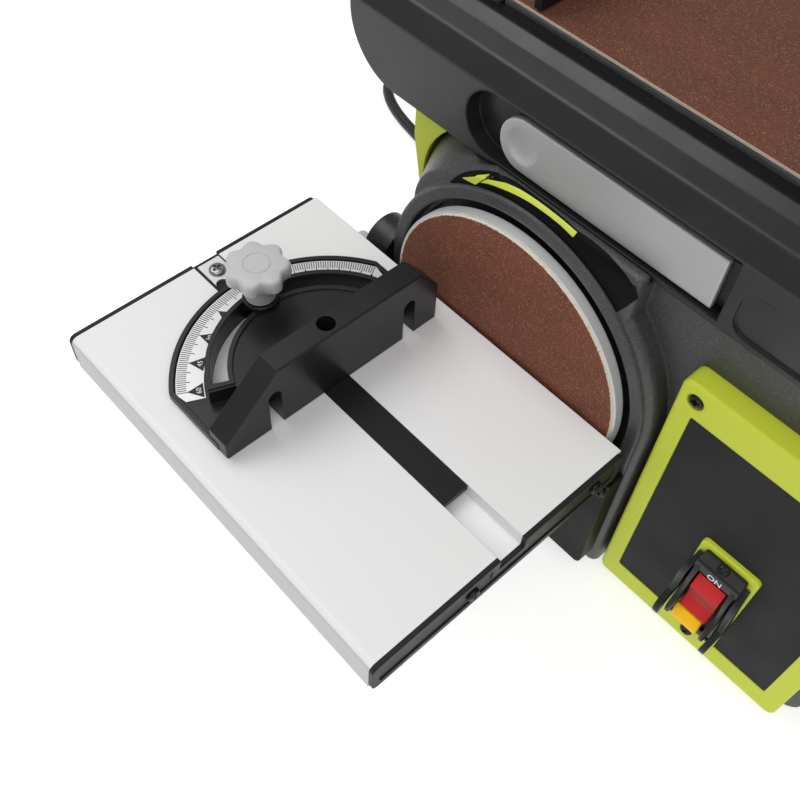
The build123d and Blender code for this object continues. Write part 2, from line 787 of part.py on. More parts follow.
with BuildPart() as safety_key:
    with BuildSketch(front_plane(bezel_face_y + key_seat)):
        with Locations((switch_x, key_z)):
            RectangleRounded(key_width, key_height, switch_corner)
    extrude(amount=bezel_face_y + key_seat - key_face_y)
    fillet(safety_key.edges().group_by(Axis.Y)[0], radius=key_round)
    with BuildSketch(front_plane(bezel_face_y + key_seat)):
        with Locations((switch_x, key_z)):
            Rectangle(key_stem_width, key_stem_height)
    extrude(amount=-key_stem_length)
save(safety_key, "safety_key")

with BuildPart() as cover_screws:
    pan_screws(cover_screw_seats, screw_length)
save(cover_screws, "cover_screws")

# Motor: two end bells and a can on the well's back, stator, bearings, and the turning line
motor_radius = 54.0
motor_can_wall = 4.0
bell_front_y = cavity_front
bell_front_depth = 16.0
can_length = 87.0
bell_rear_depth = 13.0
bearing_radius = 17.5
bearing_width = 11.0
shaft_radius = 7.5
stator_front = -20.0
stator_length = 42.0
stator_bore = 27.0
air_gap = 0.5
fan_y = 30.0
fan_depth = 10.0
fan_radius = 44.0
fan_sheet = 2.0
fan_hub_radius = 13.0
fan_blades = 9
fan_blade_length = 30.0
fan_blade_mid = 26.0
bell_shaft_gap = 2.0
can_front_y = bell_front_y + bell_front_depth
can_back_y = can_front_y + can_length
bell_back_y = can_back_y + bell_rear_depth
bearing_spans = ((can_front_y - bearing_width, can_front_y), (can_back_y, can_back_y + bearing_width))
pulley_front = 86.0
pulley_back = pulley_front + pulley_width
with BuildPart() as motor_can:
    turned(motor_radius, can_front_y, can_back_y, disc_x, disc_z)
    turned(motor_radius - motor_can_wall, can_front_y, can_back_y, disc_x, disc_z, mode=Mode.SUBTRACT)
save(motor_can, "motor_can")

with BuildPart() as motor_end_bells:
    turned(motor_radius, bell_front_y, can_front_y, disc_x, disc_z)
    turned(motor_radius, can_back_y, bell_back_y, disc_x, disc_z)
    for span in bearing_spans:
        turned(bearing_radius + press_fit, span[0], span[1], disc_x, disc_z, mode=Mode.SUBTRACT)
    turned(shaft_radius + bell_shaft_gap, bell_front_y, bell_back_y, disc_x, disc_z, mode=Mode.SUBTRACT)
save(motor_end_bells, "motor_end_bells")

with BuildPart() as motor_bearings:
    for span in bearing_spans:
        turned(bearing_radius, span[0], span[1], disc_x, disc_z)
        turned(shaft_radius + run_fit, span[0], span[1], disc_x, disc_z, mode=Mode.SUBTRACT)
save(motor_bearings, "motor_bearings")

stator_back = stator_front + stator_length
with BuildPart() as motor_stator:
    turned(motor_radius - motor_can_wall - press_fit, stator_front, stator_back, disc_x, disc_z)
    turned(stator_bore, stator_front, stator_back, disc_x, disc_z, mode=Mode.SUBTRACT)
save(motor_stator, "motor_stator")

with BuildPart() as rotor:
    turned(stator_bore - air_gap, stator_front, stator_back, disc_x, disc_z)
    turned(shaft_radius + press_fit, stator_front, stator_back, disc_x, disc_z, mode=Mode.SUBTRACT)
save(rotor, "rotor")

with BuildPart() as cooling_fan:
    turned(fan_radius, fan_y, fan_y + fan_sheet, disc_x, disc_z)
    turned(fan_hub_radius, fan_y, fan_y + fan_depth, disc_x, disc_z)
    with Locations(Plane(origin=(disc_x, fan_y, disc_z), z_dir=(0, 1, 0))):
        with PolarLocations(0, fan_blades):
            with Locations((fan_blade_mid, 0, 0)):
                Box(
                    fan_blade_length, fan_sheet, fan_depth, align=(Align.CENTER, Align.CENTER, Align.MIN)
                )
    turned(shaft_radius + press_fit, fan_y, fan_y + fan_depth, disc_x, disc_z, mode=Mode.SUBTRACT)
save(cooling_fan, "cooling_fan")

disc_plate_front = disc_face_y + abrasive_thickness
disc_plate_back = disc_plate_front + disc_plate_thickness
disc_cap = 3.0
shaft_front = disc_plate_front + disc_cap
with BuildPart() as motor_shaft:
    turned(shaft_radius, shaft_front, pulley_back, disc_x, disc_z)
save(motor_shaft, "motor_shaft")

with BuildPart() as motor_pulley:
    turned(pulley_radius, pulley_front, pulley_back, disc_x, disc_z)
    turned(shaft_radius + press_fit, pulley_front, pulley_back, disc_x, disc_z, mode=Mode.SUBTRACT)
save(motor_pulley, "motor_pulley")

with BuildPart() as disc_plate:
    turned(disc_radius, disc_plate_front, disc_plate_back, disc_x, disc_z)
    fillet(disc_plate.edges().group_by(Axis.Y)[-1], radius=1)
    turned(disc_hub_radius, disc_plate_front, disc_plate_back + disc_hub_length, disc_x, disc_z)
    turned(
        shaft_radius + press_fit, shaft_front, disc_plate_back + disc_hub_length, disc_x, disc_z,
        mode=Mode.SUBTRACT,
    )
save(disc_plate, "disc_plate")

with BuildPart() as abrasive_disc:
    turned(disc_radius - abrasive_inset, disc_face_y, disc_plate_front, disc_x, disc_z)
save(abrasive_disc, "abrasive_disc")

with BuildPart() as drive_belt:
    with BuildSketch(front_plane(pulley_back - (pulley_width - drive_belt_width) / 2)):
        with Locations(drive_mid):
            SlotCenterToCenter(
                drive_span,
                2 * (pulley_radius + curve_gap + drive_belt_thickness),
                rotation=drive_angle,
            )
            SlotCenterToCenter(
                drive_span, 2 * (pulley_radius + curve_gap), rotation=drive_angle, mode=Mode.SUBTRACT
            )
    extrude(amount=drive_belt_width)
save(drive_belt, "drive_belt")

# Drive drum on its shaft, and the pulley behind the bracket
drum_shaft_radius = 6.0
drum_bearing_radius = 12.0
drum_bearing_width = 6.0
bearing_stand = 5.0
bearing_lip = 0.5
boss_wall = 2.2
drum_shaft_gap = 2.0
side_plate_thickness = 4.0
front_plate_y = -43.5
rear_plate_y = 65.5
trunnion_end = 84.0
rear_bearing_y = 74.0
front_bearing_y = front_plate_y - bearing_stand
plate_back_y = front_plate_y + side_plate_thickness
rear_plate_back = rear_plate_y + side_plate_thickness
drum_shaft_front = front_bearing_y - bearing_lip
with BuildPart() as drum_shaft:
    turned(drum_shaft_radius, drum_shaft_front, pulley_back, drum_x, drum_z)
save(drum_shaft, "drum_shaft")

with BuildPart() as drive_drum:
    turned(drum_radius, drum_front_y, drum_back_y, drum_x, drum_z)
    turned(drum_shaft_radius + press_fit, drum_front_y, drum_back_y, drum_x, drum_z, mode=Mode.SUBTRACT)
save(drive_drum, "drive_drum")

with BuildPart() as drum_pulley:
    turned(pulley_radius, pulley_front, pulley_back, drum_x, drum_z)
    turned(drum_shaft_radius + press_fit, pulley_front, pulley_back, drum_x, drum_z, mode=Mode.SUBTRACT)
save(drum_pulley, "drum_pulley")

# Belt arm: beam between two side plates, platen, sheet cover below, moulded cover in front
arm_sheet = 2.0
arm_top_rise = 21.0
arm_front_y = -67.0
beam_left_gap = 34.0
beam_right_gap = 44.0
beam_drop = 16.0
beam_wall = 5.0
axle_radius = 6.0
axle_clear = 0.1
axle_slot_spare = 1.0
tension_travel = 5.0
arm_top = drum_z + arm_top_rise
beam_bottom = drum_z - beam_drop
arm_mid = ((drum_x + idler_x) / 2, drum_z)
plate_fit = 0.2
plate_radius = arm_radius - arm_sheet - plate_fit
beam_left = drum_x + beam_left_gap
beam_right = idler_x - beam_right_gap
platen_top = drum_z + drum_radius
platen_inset = 2.0
platen_round = 2.5
work_stop_x = -112.0
work_stop_sheet = 4.0
work_stop_foot = 34.0
work_stop_foot_rise = 3.0
work_stop_screw_rise = 9.0
work_stop_foot_z = drum_z + work_stop_foot_rise
work_stop_screw_z = work_stop_foot_z + work_stop_screw_rise
work_stop_screw_short = 0.3
work_stop_screw_near = 12.0
work_stop_screw_far = 26.0
work_stop_seats = [
    seat((x, rear_plate_back + work_stop_sheet, work_stop_screw_z), (0, 1, 0))
    for x in (work_stop_x + work_stop_screw_near, work_stop_x + work_stop_screw_far)
]
work_stop_screw = side_plate_thickness + work_stop_sheet - work_stop_screw_short
plate_screw_ends = (10.0, 110.0)
plate_seats = [
    seat((x, front_plate_y, beam_bottom + beam_wall / 2), (0, -1, 0))
    for end in plate_screw_ends
    for x in (beam_left + end, beam_right - end)
]


def arm_slot(radius):
    """The arm's round-ended outline, cut off flat at its top."""
    with Locations(arm_mid):
        SlotCenterToCenter(centre_distance, 2 * radius)
    with Locations((arm_mid[0], arm_top)):
        Rectangle(
            centre_distance + 4 * arm_radius, 2 * arm_radius, align=(Align.CENTER, Align.MIN),
            mode=Mode.SUBTRACT,
        )


def axle_slot():
    """The slot that lets the idler's axle move in by the tension travel."""
    with Locations((idler_x - tension_travel / 2, drum_z)):
        SlotCenterToCenter(
            tension_travel + 2 * axle_slot_spare, 2 * (axle_radius + axle_clear), mode=Mode.SUBTRACT
        )


with BuildPart() as arm_beam:
    with BuildSketch(side_plane(beam_left)):
        with Locations(((plate_back_y + rear_plate_y) / 2, (beam_bottom + arm_top) / 2)):
            Rectangle(rear_plate_y - plate_back_y, arm_top - beam_bottom)
            Rectangle(
                rear_plate_y - plate_back_y - 2 * beam_wall, arm_top - beam_bottom - 2 * beam_wall,
                mode=Mode.SUBTRACT,
            )
    extrude(amount=beam_right - beam_left)
    drill(plate_seats, screw_radius + run_fit, screw_length + tip_room)
save(arm_beam, "arm_beam")

with BuildPart() as platen:
    with BuildSketch(Plane.XY.offset(arm_top)):
        with Locations(((beam_left + beam_right) / 2, belt_mid_y)):
            Rectangle(beam_right - beam_left - 2 * platen_inset, belt_width - platen_inset)
    extrude(amount=platen_top - arm_top)
    fillet(platen.edges().filter_by(Axis.Y).group_by(Axis.Z)[-1], radius=platen_round)
save(platen, "platen")

with BuildPart() as front_side_plate:
    with BuildSketch(front_plane(plate_back_y)):
        arm_slot(plate_radius)
        axle_slot()
    extrude(amount=side_plate_thickness)
    turned(drum_bearing_radius + boss_wall, drum_shaft_front, front_plate_y, drum_x, drum_z)
    turned(
        drum_bearing_radius + press_fit, drum_shaft_front, front_bearing_y + drum_bearing_width,
        drum_x, drum_z, mode=Mode.SUBTRACT,
    )
    turned(
        drum_shaft_radius + drum_shaft_gap, front_plate_y, plate_back_y, drum_x, drum_z,
        mode=Mode.SUBTRACT,
    )
    drill(plate_seats, screw_radius + run_fit, side_plate_thickness)
save(front_side_plate, "front_side_plate")

with BuildPart() as rear_side_plate:
    with BuildSketch(front_plane(rear_plate_back)):
        arm_slot(plate_radius)
        axle_slot()
    extrude(amount=side_plate_thickness)
    turned(trunnion_radius - run_fit, rear_plate_back, trunnion_end, drum_x, drum_z)
    turned(
        drum_shaft_radius + drum_shaft_gap, rear_plate_y, trunnion_end, drum_x, drum_z,
        mode=Mode.SUBTRACT,
    )
    turned(
        drum_bearing_radius + press_fit, rear_bearing_y, trunnion_end, drum_x, drum_z, mode=Mode.SUBTRACT
    )
    drill(work_stop_seats, screw_radius + run_fit, work_stop_screw + tip_room)
save(rear_side_plate, "rear_side_plate")

with BuildPart() as drum_bearings:
    for bearing_y in (front_bearing_y, rear_bearing_y):
        turned(drum_bearing_radius, bearing_y, bearing_y + drum_bearing_width, drum_x, drum_z)
        turned(
            drum_shaft_radius + run_fit, bearing_y, bearing_y + drum_bearing_width, drum_x, drum_z,
            mode=Mode.SUBTRACT,
        )
save(drum_bearings, "drum_bearings")

with BuildPart() as arm_lower_cover:
    with BuildSketch(front_plane(rear_plate_back)):
        arm_slot(arm_radius)
        with Locations(arm_mid):
            SlotCenterToCenter(centre_distance, 2 * (arm_radius - arm_sheet), mode=Mode.SUBTRACT)
    extrude(amount=rear_plate_back - front_plate_y)
save(arm_lower_cover, "arm_lower_cover")

with BuildPart() as sanding_belt:
    with BuildSketch(front_plane(belt_back_y)):
        with Locations(arm_mid):
            SlotCenterToCenter(centre_distance, 2 * belt_outer)
            SlotCenterToCenter(centre_distance, 2 * belt_inner, mode=Mode.SUBTRACT)
    extrude(amount=belt_width)
save(sanding_belt, "sanding_belt")

# Front cover of the arm: a hollow moulding with a pocket for the tension lever
cover_skin = 3.0
cover_foot_drop = 47.0
cover_foot_z = drum_z - cover_foot_drop
cover_round = 3.0
pocket_left = -118.0
pocket_right = 27.5
pocket_drop = 30.0
pocket_rise = 3.5
pocket_bottom = drum_z - pocket_drop
pocket_top = drum_z + pocket_rise
pocket_floor_y = -58.0
pocket_lip = 1.0
hinge_well_left = 8.0
hinge_well_right = 32.0
hinge_well_front = -62.0
hinge_well_back = -45.0
hinge_well_skin = 1.2
lever_axis_x = 18.5
lever_axis_y = -58.0
lever_pin_radius = 2.0
pin_bury = 1.2
pin_hole_bury = 1.5
rod_y = lever_axis_y
rod_drop = 11.0
rod_z = drum_z - rod_drop
rod_radius = 3.5
rod_tip_radius = 2.0
rod_hole_gap = 0.6
tracking_y = -55.0
tracking_stud_radius = 3.0
trim_left = 33.0
trim_right = 172.0
trim_height = 24.0
trim_bottom = pocket_bottom
trim_top = trim_bottom + trim_height
trim_corner = 8.0
cover_slope = [(arm_front_y, 4.5), (-60.5, 15.0), (-50.0, 17.6), (front_plate_y, arm_top_rise)]
inner_slope = [(arm_front_y + cover_skin, 3.4), (-59.0, 12.0), (-49.5, 14.4), (front_plate_y, 17.0)]
cover_section = [(front_plate_y, cover_foot_z), (arm_front_y, cover_foot_z)] + [
    (y, drum_z + rise) for y, rise in cover_slope
]
inner_section = [(front_plate_y, cover_foot_z), (arm_front_y + cover_skin, cover_foot_z)] + [
    (y, drum_z + rise) for y, rise in inner_slope
]
cover_reach = centre_distance + 2 * arm_radius
with BuildPart() as cover_hollow:
    with BuildSketch(side_plane(drum_x - arm_radius)):
        with BuildLine():
            Polyline(*inner_section, close=True)
        make_face()
    extrude(amount=cover_reach)
    with BuildSketch(front_plane(front_plate_y)):
        arm_slot(arm_radius - cover_skin)
    extrude(amount=front_plate_y - arm_front_y, mode=Mode.INTERSECT)

with BuildPart() as arm_front_cover:
    with BuildSketch(side_plane(drum_x - arm_radius)) as cover_profile:
        with BuildLine():
            Polyline(*cover_section, close=True)
        make_face()
        fillet(cover_profile.vertices().sort_by(Axis.Y)[2:5], radius=cover_round)
    extrude(amount=cover_reach)
    with BuildSketch(front_plane(front_plate_y)):
        arm_slot(arm_radius)
    extrude(amount=front_plate_y - arm_front_y, mode=Mode.INTERSECT)
    add(cover_hollow.part, mode=Mode.SUBTRACT)
    with BuildSketch(front_plane(pocket_floor_y + cover_skin)):
        with Locations(((pocket_left + pocket_right) / 2, (pocket_bottom + pocket_top) / 2)):
            Rectangle(
                pocket_right - pocket_left + 2 * cover_skin,
                pocket_top - pocket_bottom + 2 * cover_skin - pocket_lip,
            )
    extrude(amount=pocket_floor_y + cover_skin - arm_front_y - pocket_lip)
    with BuildSketch(front_plane(hinge_well_back + hinge_well_skin)):
        with Locations(((hinge_well_left + hinge_well_right) / 2, (pocket_bottom + pocket_top) / 2)):
            Rectangle(
                hinge_well_right - hinge_well_left + 2 * cover_skin,
                pocket_top - pocket_bottom + 2 * cover_skin - pocket_lip,
            )
    extrude(amount=hinge_well_back + hinge_well_skin - hinge_well_front)
    with BuildSketch(front_plane(pocket_floor_y)):
        with BuildLine():
            pocket_round = (pocket_top - pocket_bottom) / 2
            Polyline(
                (pocket_left + pocket_round, pocket_bottom),
                (pocket_right, pocket_bottom),
                (pocket_right, pocket_top),
                (pocket_left + pocket_round, pocket_top),
            )
            RadiusArc(
                (pocket_left + pocket_round, pocket_bottom), (pocket_left + pocket_round, pocket_top),
                pocket_round,
            )
        make_face()
    extrude(amount=pocket_floor_y - arm_front_y, mode=Mode.SUBTRACT)
    with BuildSketch(front_plane(hinge_well_back)):
        with Locations(((hinge_well_left + hinge_well_right) / 2, (pocket_bottom + pocket_top) / 2)):
            Rectangle(hinge_well_right - hinge_well_left, pocket_top - pocket_bottom)
    extrude(amount=hinge_well_back - hinge_well_front, mode=Mode.SUBTRACT)
    with Locations((lever_axis_x, lever_axis_y, pocket_bottom - pin_hole_bury)):
        Cylinder(
            lever_pin_radius + run_fit, pocket_top - pocket_bottom + 2 * pin_hole_bury,
            align=(Align.CENTER, Align.CENTER, Align.MIN), mode=Mode.SUBTRACT,
        )
    with Locations(seat((hinge_well_right + cover_skin, rod_y, rod_z), (1, 0, 0))):
        Cylinder(
            rod_tip_radius + rod_hole_gap, cover_skin, align=(Align.CENTER, Align.CENTER, Align.MAX),
            mode=Mode.SUBTRACT,
        )
    with BuildSketch(front_plane(arm_front_y + cover_skin / 2)):
        with Locations(((trim_left + trim_right) / 2, (trim_bottom + trim_top) / 2)):
            RectangleRounded(trim_right - trim_left, trim_top - trim_bottom, trim_corner)
    extrude(amount=cover_skin / 2, mode=Mode.SUBTRACT)
    with Locations(seat((idler_x + arm_radius, tracking_y, drum_z), (1, 0, 0))):
        Cylinder(
            tracking_stud_radius + run_fit, cover_skin + tip_room,
            align=(Align.CENTER, Align.CENTER, Align.MAX), mode=Mode.SUBTRACT,
        )
save(arm_front_cover, "arm_front_cover")

# Work stop across the belt, and the arm's screws
work_stop_rise = 25.0
work_stop_lift = 1.5
work_stop_bottom = platen_top + curve_gap + belt_thickness + work_stop_lift
work_stop_top = work_stop_bottom + work_stop_rise
with BuildPart() as work_stop:
    with BuildSketch(side_plane(work_stop_x)):
        with BuildLine():
            Polyline(
                (belt_front_y, work_stop_bottom),
                (belt_front_y, work_stop_top),
                (rear_plate_back + work_stop_sheet, work_stop_top),
                (rear_plate_back + work_stop_sheet, work_stop_foot_z),
                (rear_plate_back, work_stop_foot_z),
                (rear_plate_back, work_stop_bottom),
                close=True,
            )
        make_face()
    extrude(amount=work_stop_sheet)
    with BuildSketch(front_plane(rear_plate_back + work_stop_sheet)):
        with Locations((work_stop_x, work_stop_foot_z)):
            Rectangle(work_stop_foot, arm_top - work_stop_foot_z, align=(Align.MIN, Align.MIN))
    extrude(amount=work_stop_sheet)
    drill(work_stop_seats, screw_radius + run_fit, work_stop_sheet)
save(work_stop, "work_stop")

with BuildPart() as arm_screws:
    pan_screws(plate_seats, screw_length)
    pan_screws(work_stop_seats, work_stop_screw)
save(arm_screws, "arm_screws")

# Tension: lever with its cam, rod with eye and spring, axle and idler drum
lever_left = -98.5
lever_right = 22.0
lever_foot_gap = 1.3
lever_head_gap = 5.0
lever_bottom = pocket_bottom + lever_foot_gap
lever_top = pocket_top - lever_head_gap
lever_face_y = -65.0
lever_sheet = 3.0
barrel_radius = 4.0
barrel_inset = 1.0
lever_round_over = 0.8
lever_web_bury = 0.5
cam_radius = 3.5
cam_reach = 12.0
cam_gap = 0.85
dimple_radius = 11.0
dimple_depth = 1.0
dimple_flare = 30.0
lever_mid_z = (lever_bottom + lever_top) / 2
lever_round = (lever_top - lever_bottom) / 2
with BuildPart() as tension_lever:
    with BuildSketch(front_plane(lever_face_y + lever_sheet)):
        with BuildLine():
            Polyline(
                (lever_left + lever_round, lever_bottom),
                (lever_right, lever_bottom),
                (lever_right, lever_top),
                (lever_left + lever_round, lever_top),
            )
            RadiusArc(
                (lever_left + lever_round, lever_bottom), (lever_left + lever_round, lever_top), lever_round
            )
        make_face()
    extrude(amount=lever_sheet)
    fillet(tension_lever.edges().group_by(Axis.Y)[0], radius=lever_round_over)
    with BuildSketch(front_plane(lever_face_y + dimple_depth)):
        with Locations((lever_left + lever_round, lever_mid_z)):
            Circle(dimple_radius)
    extrude(amount=dimple_depth, taper=-dimple_flare, mode=Mode.SUBTRACT)
    with BuildSketch(Plane.XY.offset(lever_bottom + barrel_inset)):
        with Locations((lever_axis_x, lever_axis_y)):
            Circle(barrel_radius)
            Rectangle(
                2 * (lever_right - lever_axis_x), lever_axis_y - lever_face_y - lever_sheet + lever_web_bury,
                align=(Align.CENTER, Align.MAX),
            )
        with Locations((lever_axis_x + cam_reach - cam_radius, lever_axis_y)):
            Circle(cam_radius)
        with Locations((lever_axis_x + (cam_reach - cam_radius) / 2, lever_axis_y)):
            Rectangle(cam_reach - cam_radius, 2 * cam_radius)
    extrude(amount=lever_top - lever_bottom - 2 * barrel_inset)
    with Locations((lever_axis_x, lever_axis_y, pocket_bottom - pin_bury)):
        Cylinder(
            lever_pin_radius, pocket_top - pocket_bottom + 2 * pin_bury,
            align=(Align.CENTER, Align.CENTER, Align.MIN),
        )
save(tension_lever, "tension_lever")

eye_half = 9.0
eye_corner = 3.0
eye_plate_gap = 1.0
eye_front_y = -60.0
eye_back_y = front_plate_y - eye_plate_gap
eye_drop = 17.0
eye_rise = 9.0
eye_bottom = drum_z - eye_drop
eye_top = drum_z + eye_rise
rod_tip_x = lever_axis_x + cam_reach + cam_gap
rod_step_gap = 2.0
rod_thick_x = hinge_well_right + cover_skin + tension_travel + rod_step_gap
spring_length = 45.0
spring_radius = 5.7
collar_width = 5.0
axle_grip = 8.0
axle_front = eye_back_y - axle_grip
axle_back = rear_plate_back - slide_gap
with BuildPart() as tension_rod:
    with Locations(seat((idler_x - eye_half, rod_y, rod_z), (-1, 0, 0))):
        Cylinder(
            rod_tip_radius, idler_x - eye_half - rod_tip_x, align=(Align.CENTER, Align.CENTER, Align.MIN)
        )
        Cylinder(
            rod_radius, idler_x - eye_half - rod_thick_x, align=(Align.CENTER, Align.CENTER, Align.MIN)
        )
    with Locations(seat((idler_x - eye_half - spring_length, rod_y, rod_z), (-1, 0, 0))):
        Cylinder(spring_radius, collar_width, align=(Align.CENTER, Align.CENTER, Align.MIN))
    with BuildSketch(front_plane(eye_back_y)):
        with Locations((idler_x, (eye_bottom + eye_top) / 2)):
            RectangleRounded(2 * eye_half, eye_top - eye_bottom, eye_corner)
    extrude(amount=eye_back_y - eye_front_y)
    turned(axle_radius + press_fit, axle_front, eye_back_y, idler_x, drum_z, mode=Mode.SUBTRACT)
save(tension_rod, "tension_rod")

with BuildPart() as tension_spring:
    with Locations(seat((idler_x - eye_half, rod_y, rod_z), (-1, 0, 0))):
        Cylinder(spring_radius, spring_length, align=(Align.CENTER, Align.CENTER, Align.MIN))
        Cylinder(
            rod_radius + curve_gap, spring_length, align=(Align.CENTER, Align.CENTER, Align.MIN),
            mode=Mode.SUBTRACT,
        )
save(tension_spring, "tension_spring")

with BuildPart() as idler_axle:
    turned(axle_radius, axle_front, axle_back, idler_x, drum_z)
save(idler_axle, "idler_axle")

with BuildPart() as idler_drum:
    with BuildSketch(Plane(origin=(idler_x, 0, drum_z), x_dir=(0, 1, 0), z_dir=(1, 0, 0))):
        with BuildLine():
            crown = ThreePointArc(
                (drum_front_y, drum_radius - drum_crown),
                (belt_mid_y, drum_radius),
                (drum_back_y, drum_radius - drum_crown),
            )
            Polyline(
                crown @ 1,
                (drum_back_y, axle_radius + run_fit),
                (drum_front_y, axle_radius + run_fit),
                crown @ 0,
            )
        make_face()
    revolve(axis=Axis((idler_x, 0, drum_z), (0, 1, 0)))
save(idler_drum, "idler_drum")


lobe_share = 0.74


def lobed_head(plane, radius, height, lobes):
    """A hand knob's lobed head standing on a plane."""
    core = lobe_share * radius
    with Locations(plane):
        Cylinder(core, height, align=(Align.CENTER, Align.CENTER, Align.MIN))
        with PolarLocations(core, lobes):
            Cylinder(radius - core, height, align=(Align.CENTER, Align.CENTER, Align.MIN))


def post(plane, radius, start, end):
    """A round post along a plane's normal, from start to end."""
    with Locations(plane.offset(start)):
        Cylinder(radius, end - start, align=(Align.CENTER, Align.CENTER, Align.MIN))


# Hand knobs on the arm: belt tracking at the idler end, arm lock at the pivot bracket
tracking_knob_radius = 13.0
tracking_knob_height = 16.0
tracking_stand = 3.0
tracking_stud_gap = 1.5
hand_knob_lobes = 6
tracking_seat = seat((idler_x + arm_radius, tracking_y, drum_z), (1, 0, 0))
with BuildPart() as tracking_knob:
    lobed_head(
        tracking_seat.offset(tracking_stand), tracking_knob_radius, tracking_knob_height, hand_knob_lobes
    )
    post(
        tracking_seat, tracking_stud_radius, eye_half + tracking_stud_gap - arm_radius, tracking_stand
    )
save(tracking_knob, "tracking_knob")

arm_lock_knob_radius = 14.0
arm_lock_knob_height = 18.0
arm_lock_gap = 1.5
arm_lock_stand = arm_radius - bracket_radius + arm_lock_gap
with BuildPart() as arm_lock_knob:
    lobed_head(
        arm_lock_seat.offset(arm_lock_stand), arm_lock_knob_radius, arm_lock_knob_height, hand_knob_lobes
    )
    post(
        arm_lock_seat, arm_lock_stud_radius, trunnion_radius - bracket_radius + curve_gap, arm_lock_stand
    )
save(arm_lock_knob, "arm_lock_knob")

# Work table: an extruded plate with skirts, a mitre channel and screw ports, closed by moulded end caps
port_ys = (-185.0, -103.0)
port_z = 117.0
port_radius = 4.5
rib_ys = (-205.0, -135.0)
rib_bottom = 112.0
cap_recess = 0.8
cap_border = 4.0
skin_bottom = table_top_z - table_skin
extrusion_left = table_left + end_cap_thickness
extrusion_right = table_right - end_cap_thickness
table_mid_y = (table_front + table_back) / 2
with BuildPart() as table_plate:
    with BuildSketch(side_plane(extrusion_left)) as table_section:
        with Locations((table_mid_y, table_top_z)):
            Rectangle(table_depth, table_height, align=(Align.CENTER, Align.MAX))
        fillet(
            table_section.vertices().group_by(Axis.Y)[-1].sort_by(Axis.X)[0], radius=table_edge_radius
        )
        with Locations((table_mid_y, skin_bottom)):
            Rectangle(
                table_depth - 2 * skirt, table_height, align=(Align.CENTER, Align.MAX), mode=Mode.SUBTRACT
            )
        with Locations((mitre_slot_y, skin_bottom)):
            Rectangle(
                mitre_slot_width + 2 * channel_wall,
                mitre_slot_depth + channel_wall - table_skin,
                align=(Align.CENTER, Align.MAX),
            )
        for rib_y in rib_ys:
            with Locations((rib_y, skin_bottom)):
                Rectangle(channel_wall, skin_bottom - rib_bottom, align=(Align.CENTER, Align.MAX))
        for port_y in port_ys:
            with Locations((port_y, skin_bottom)):
                Rectangle(port_radius, skin_bottom - port_z, align=(Align.CENTER, Align.MAX))
            with Locations((port_y, port_z)):
                Circle(port_radius)
        for port_y in port_ys:
            with Locations((port_y, port_z)):
                Circle(screw_radius + run_fit, mode=Mode.SUBTRACT)
        with Locations((mitre_slot_y, table_top_z)):
            Rectangle(
                mitre_slot_width, mitre_slot_depth, align=(Align.CENTER, Align.MAX), mode=Mode.SUBTRACT
            )
    extrude(amount=extrusion_right - extrusion_left)
save(table_plate, "table_plate")

cap_seats = [
    seat((x, port_y, port_z), (outward, 0, 0))
    for x, outward in ((table_left + cap_recess, -1), (table_right - cap_recess, 1))
    for port_y in port_ys
]


def cap_outline(inset, mode=Mode.ADD):
    """The table's end outline, brought in by an inset, with the mitre slot's notch."""
    with Locations((table_mid_y, (table_top_z + table_bottom) / 2)):
        RectangleRounded(
            table_depth - 2 * inset, table_height - 2 * inset, table_edge_radius - inset / 2, mode=mode
        )


with BuildPart() as table_end_caps:
    for cap_x, face_x in ((table_left, table_left), (extrusion_right, table_right - cap_recess)):
        with BuildSketch(side_plane(cap_x)):
            cap_outline(0)
            with Locations((mitre_slot_y, table_top_z)):
                Rectangle(
                    mitre_slot_width, mitre_slot_depth, align=(Align.CENTER, Align.MAX), mode=Mode.SUBTRACT
                )
        extrude(amount=end_cap_thickness)
        with BuildSketch(side_plane(face_x)):
            cap_outline(cap_border)
            with Locations((mitre_slot_y, table_top_z)):
                Rectangle(
                    mitre_slot_width + 2 * cap_border,
                    mitre_slot_depth + cap_border,
                    align=(Align.CENTER, Align.MAX),
                    mode=Mode.SUBTRACT,
                )
        extrude(amount=cap_recess, mode=Mode.SUBTRACT)
    drill(cap_seats, screw_radius + run_fit, end_cap_thickness)
save(table_end_caps, "table_end_caps")

with BuildPart() as table_screws:
    pan_screws(cap_seats, screw_length)
save(table_screws, "table_screws")

# Tilt: a quadrant bracket with the lock slot at the left, a plain bracket at the right, two hinge pins
bracket_plate = 4.7
bracket_arm_front = -97.4
bracket_arm_back = -89.4
bracket_flange = 3.0
flange_width = 18.0
lock_reach = math.hypot(lock_y - tilt_y, lock_z - tilt_z)
lock_angle = math.degrees(math.atan2(lock_z - tilt_z, lock_y - tilt_y))
quadrant_rim = 8.0
quadrant_radius = lock_reach + quadrant_rim
quadrant_spare = 12.0
slot_width = 2 * (lock_stud_radius + curve_gap)
quadrant_right = lug_face_x - slide_gap
bracket_right = guard_ear_left - slide_gap
bracket_lefts = (quadrant_right - bracket_plate, bracket_right - bracket_plate)


def bracket_shape():
    """Eye round the hinge pin and the arm up to the table's underside."""
    with Locations((tilt_y, tilt_z)):
        Circle(tilt_eye_radius)
    with Locations(((bracket_arm_front + bracket_arm_back) / 2, tilt_z)):
        Rectangle(
            bracket_arm_back - bracket_arm_front, skin_bottom - tilt_z, align=(Align.CENTER, Align.MIN)
        )


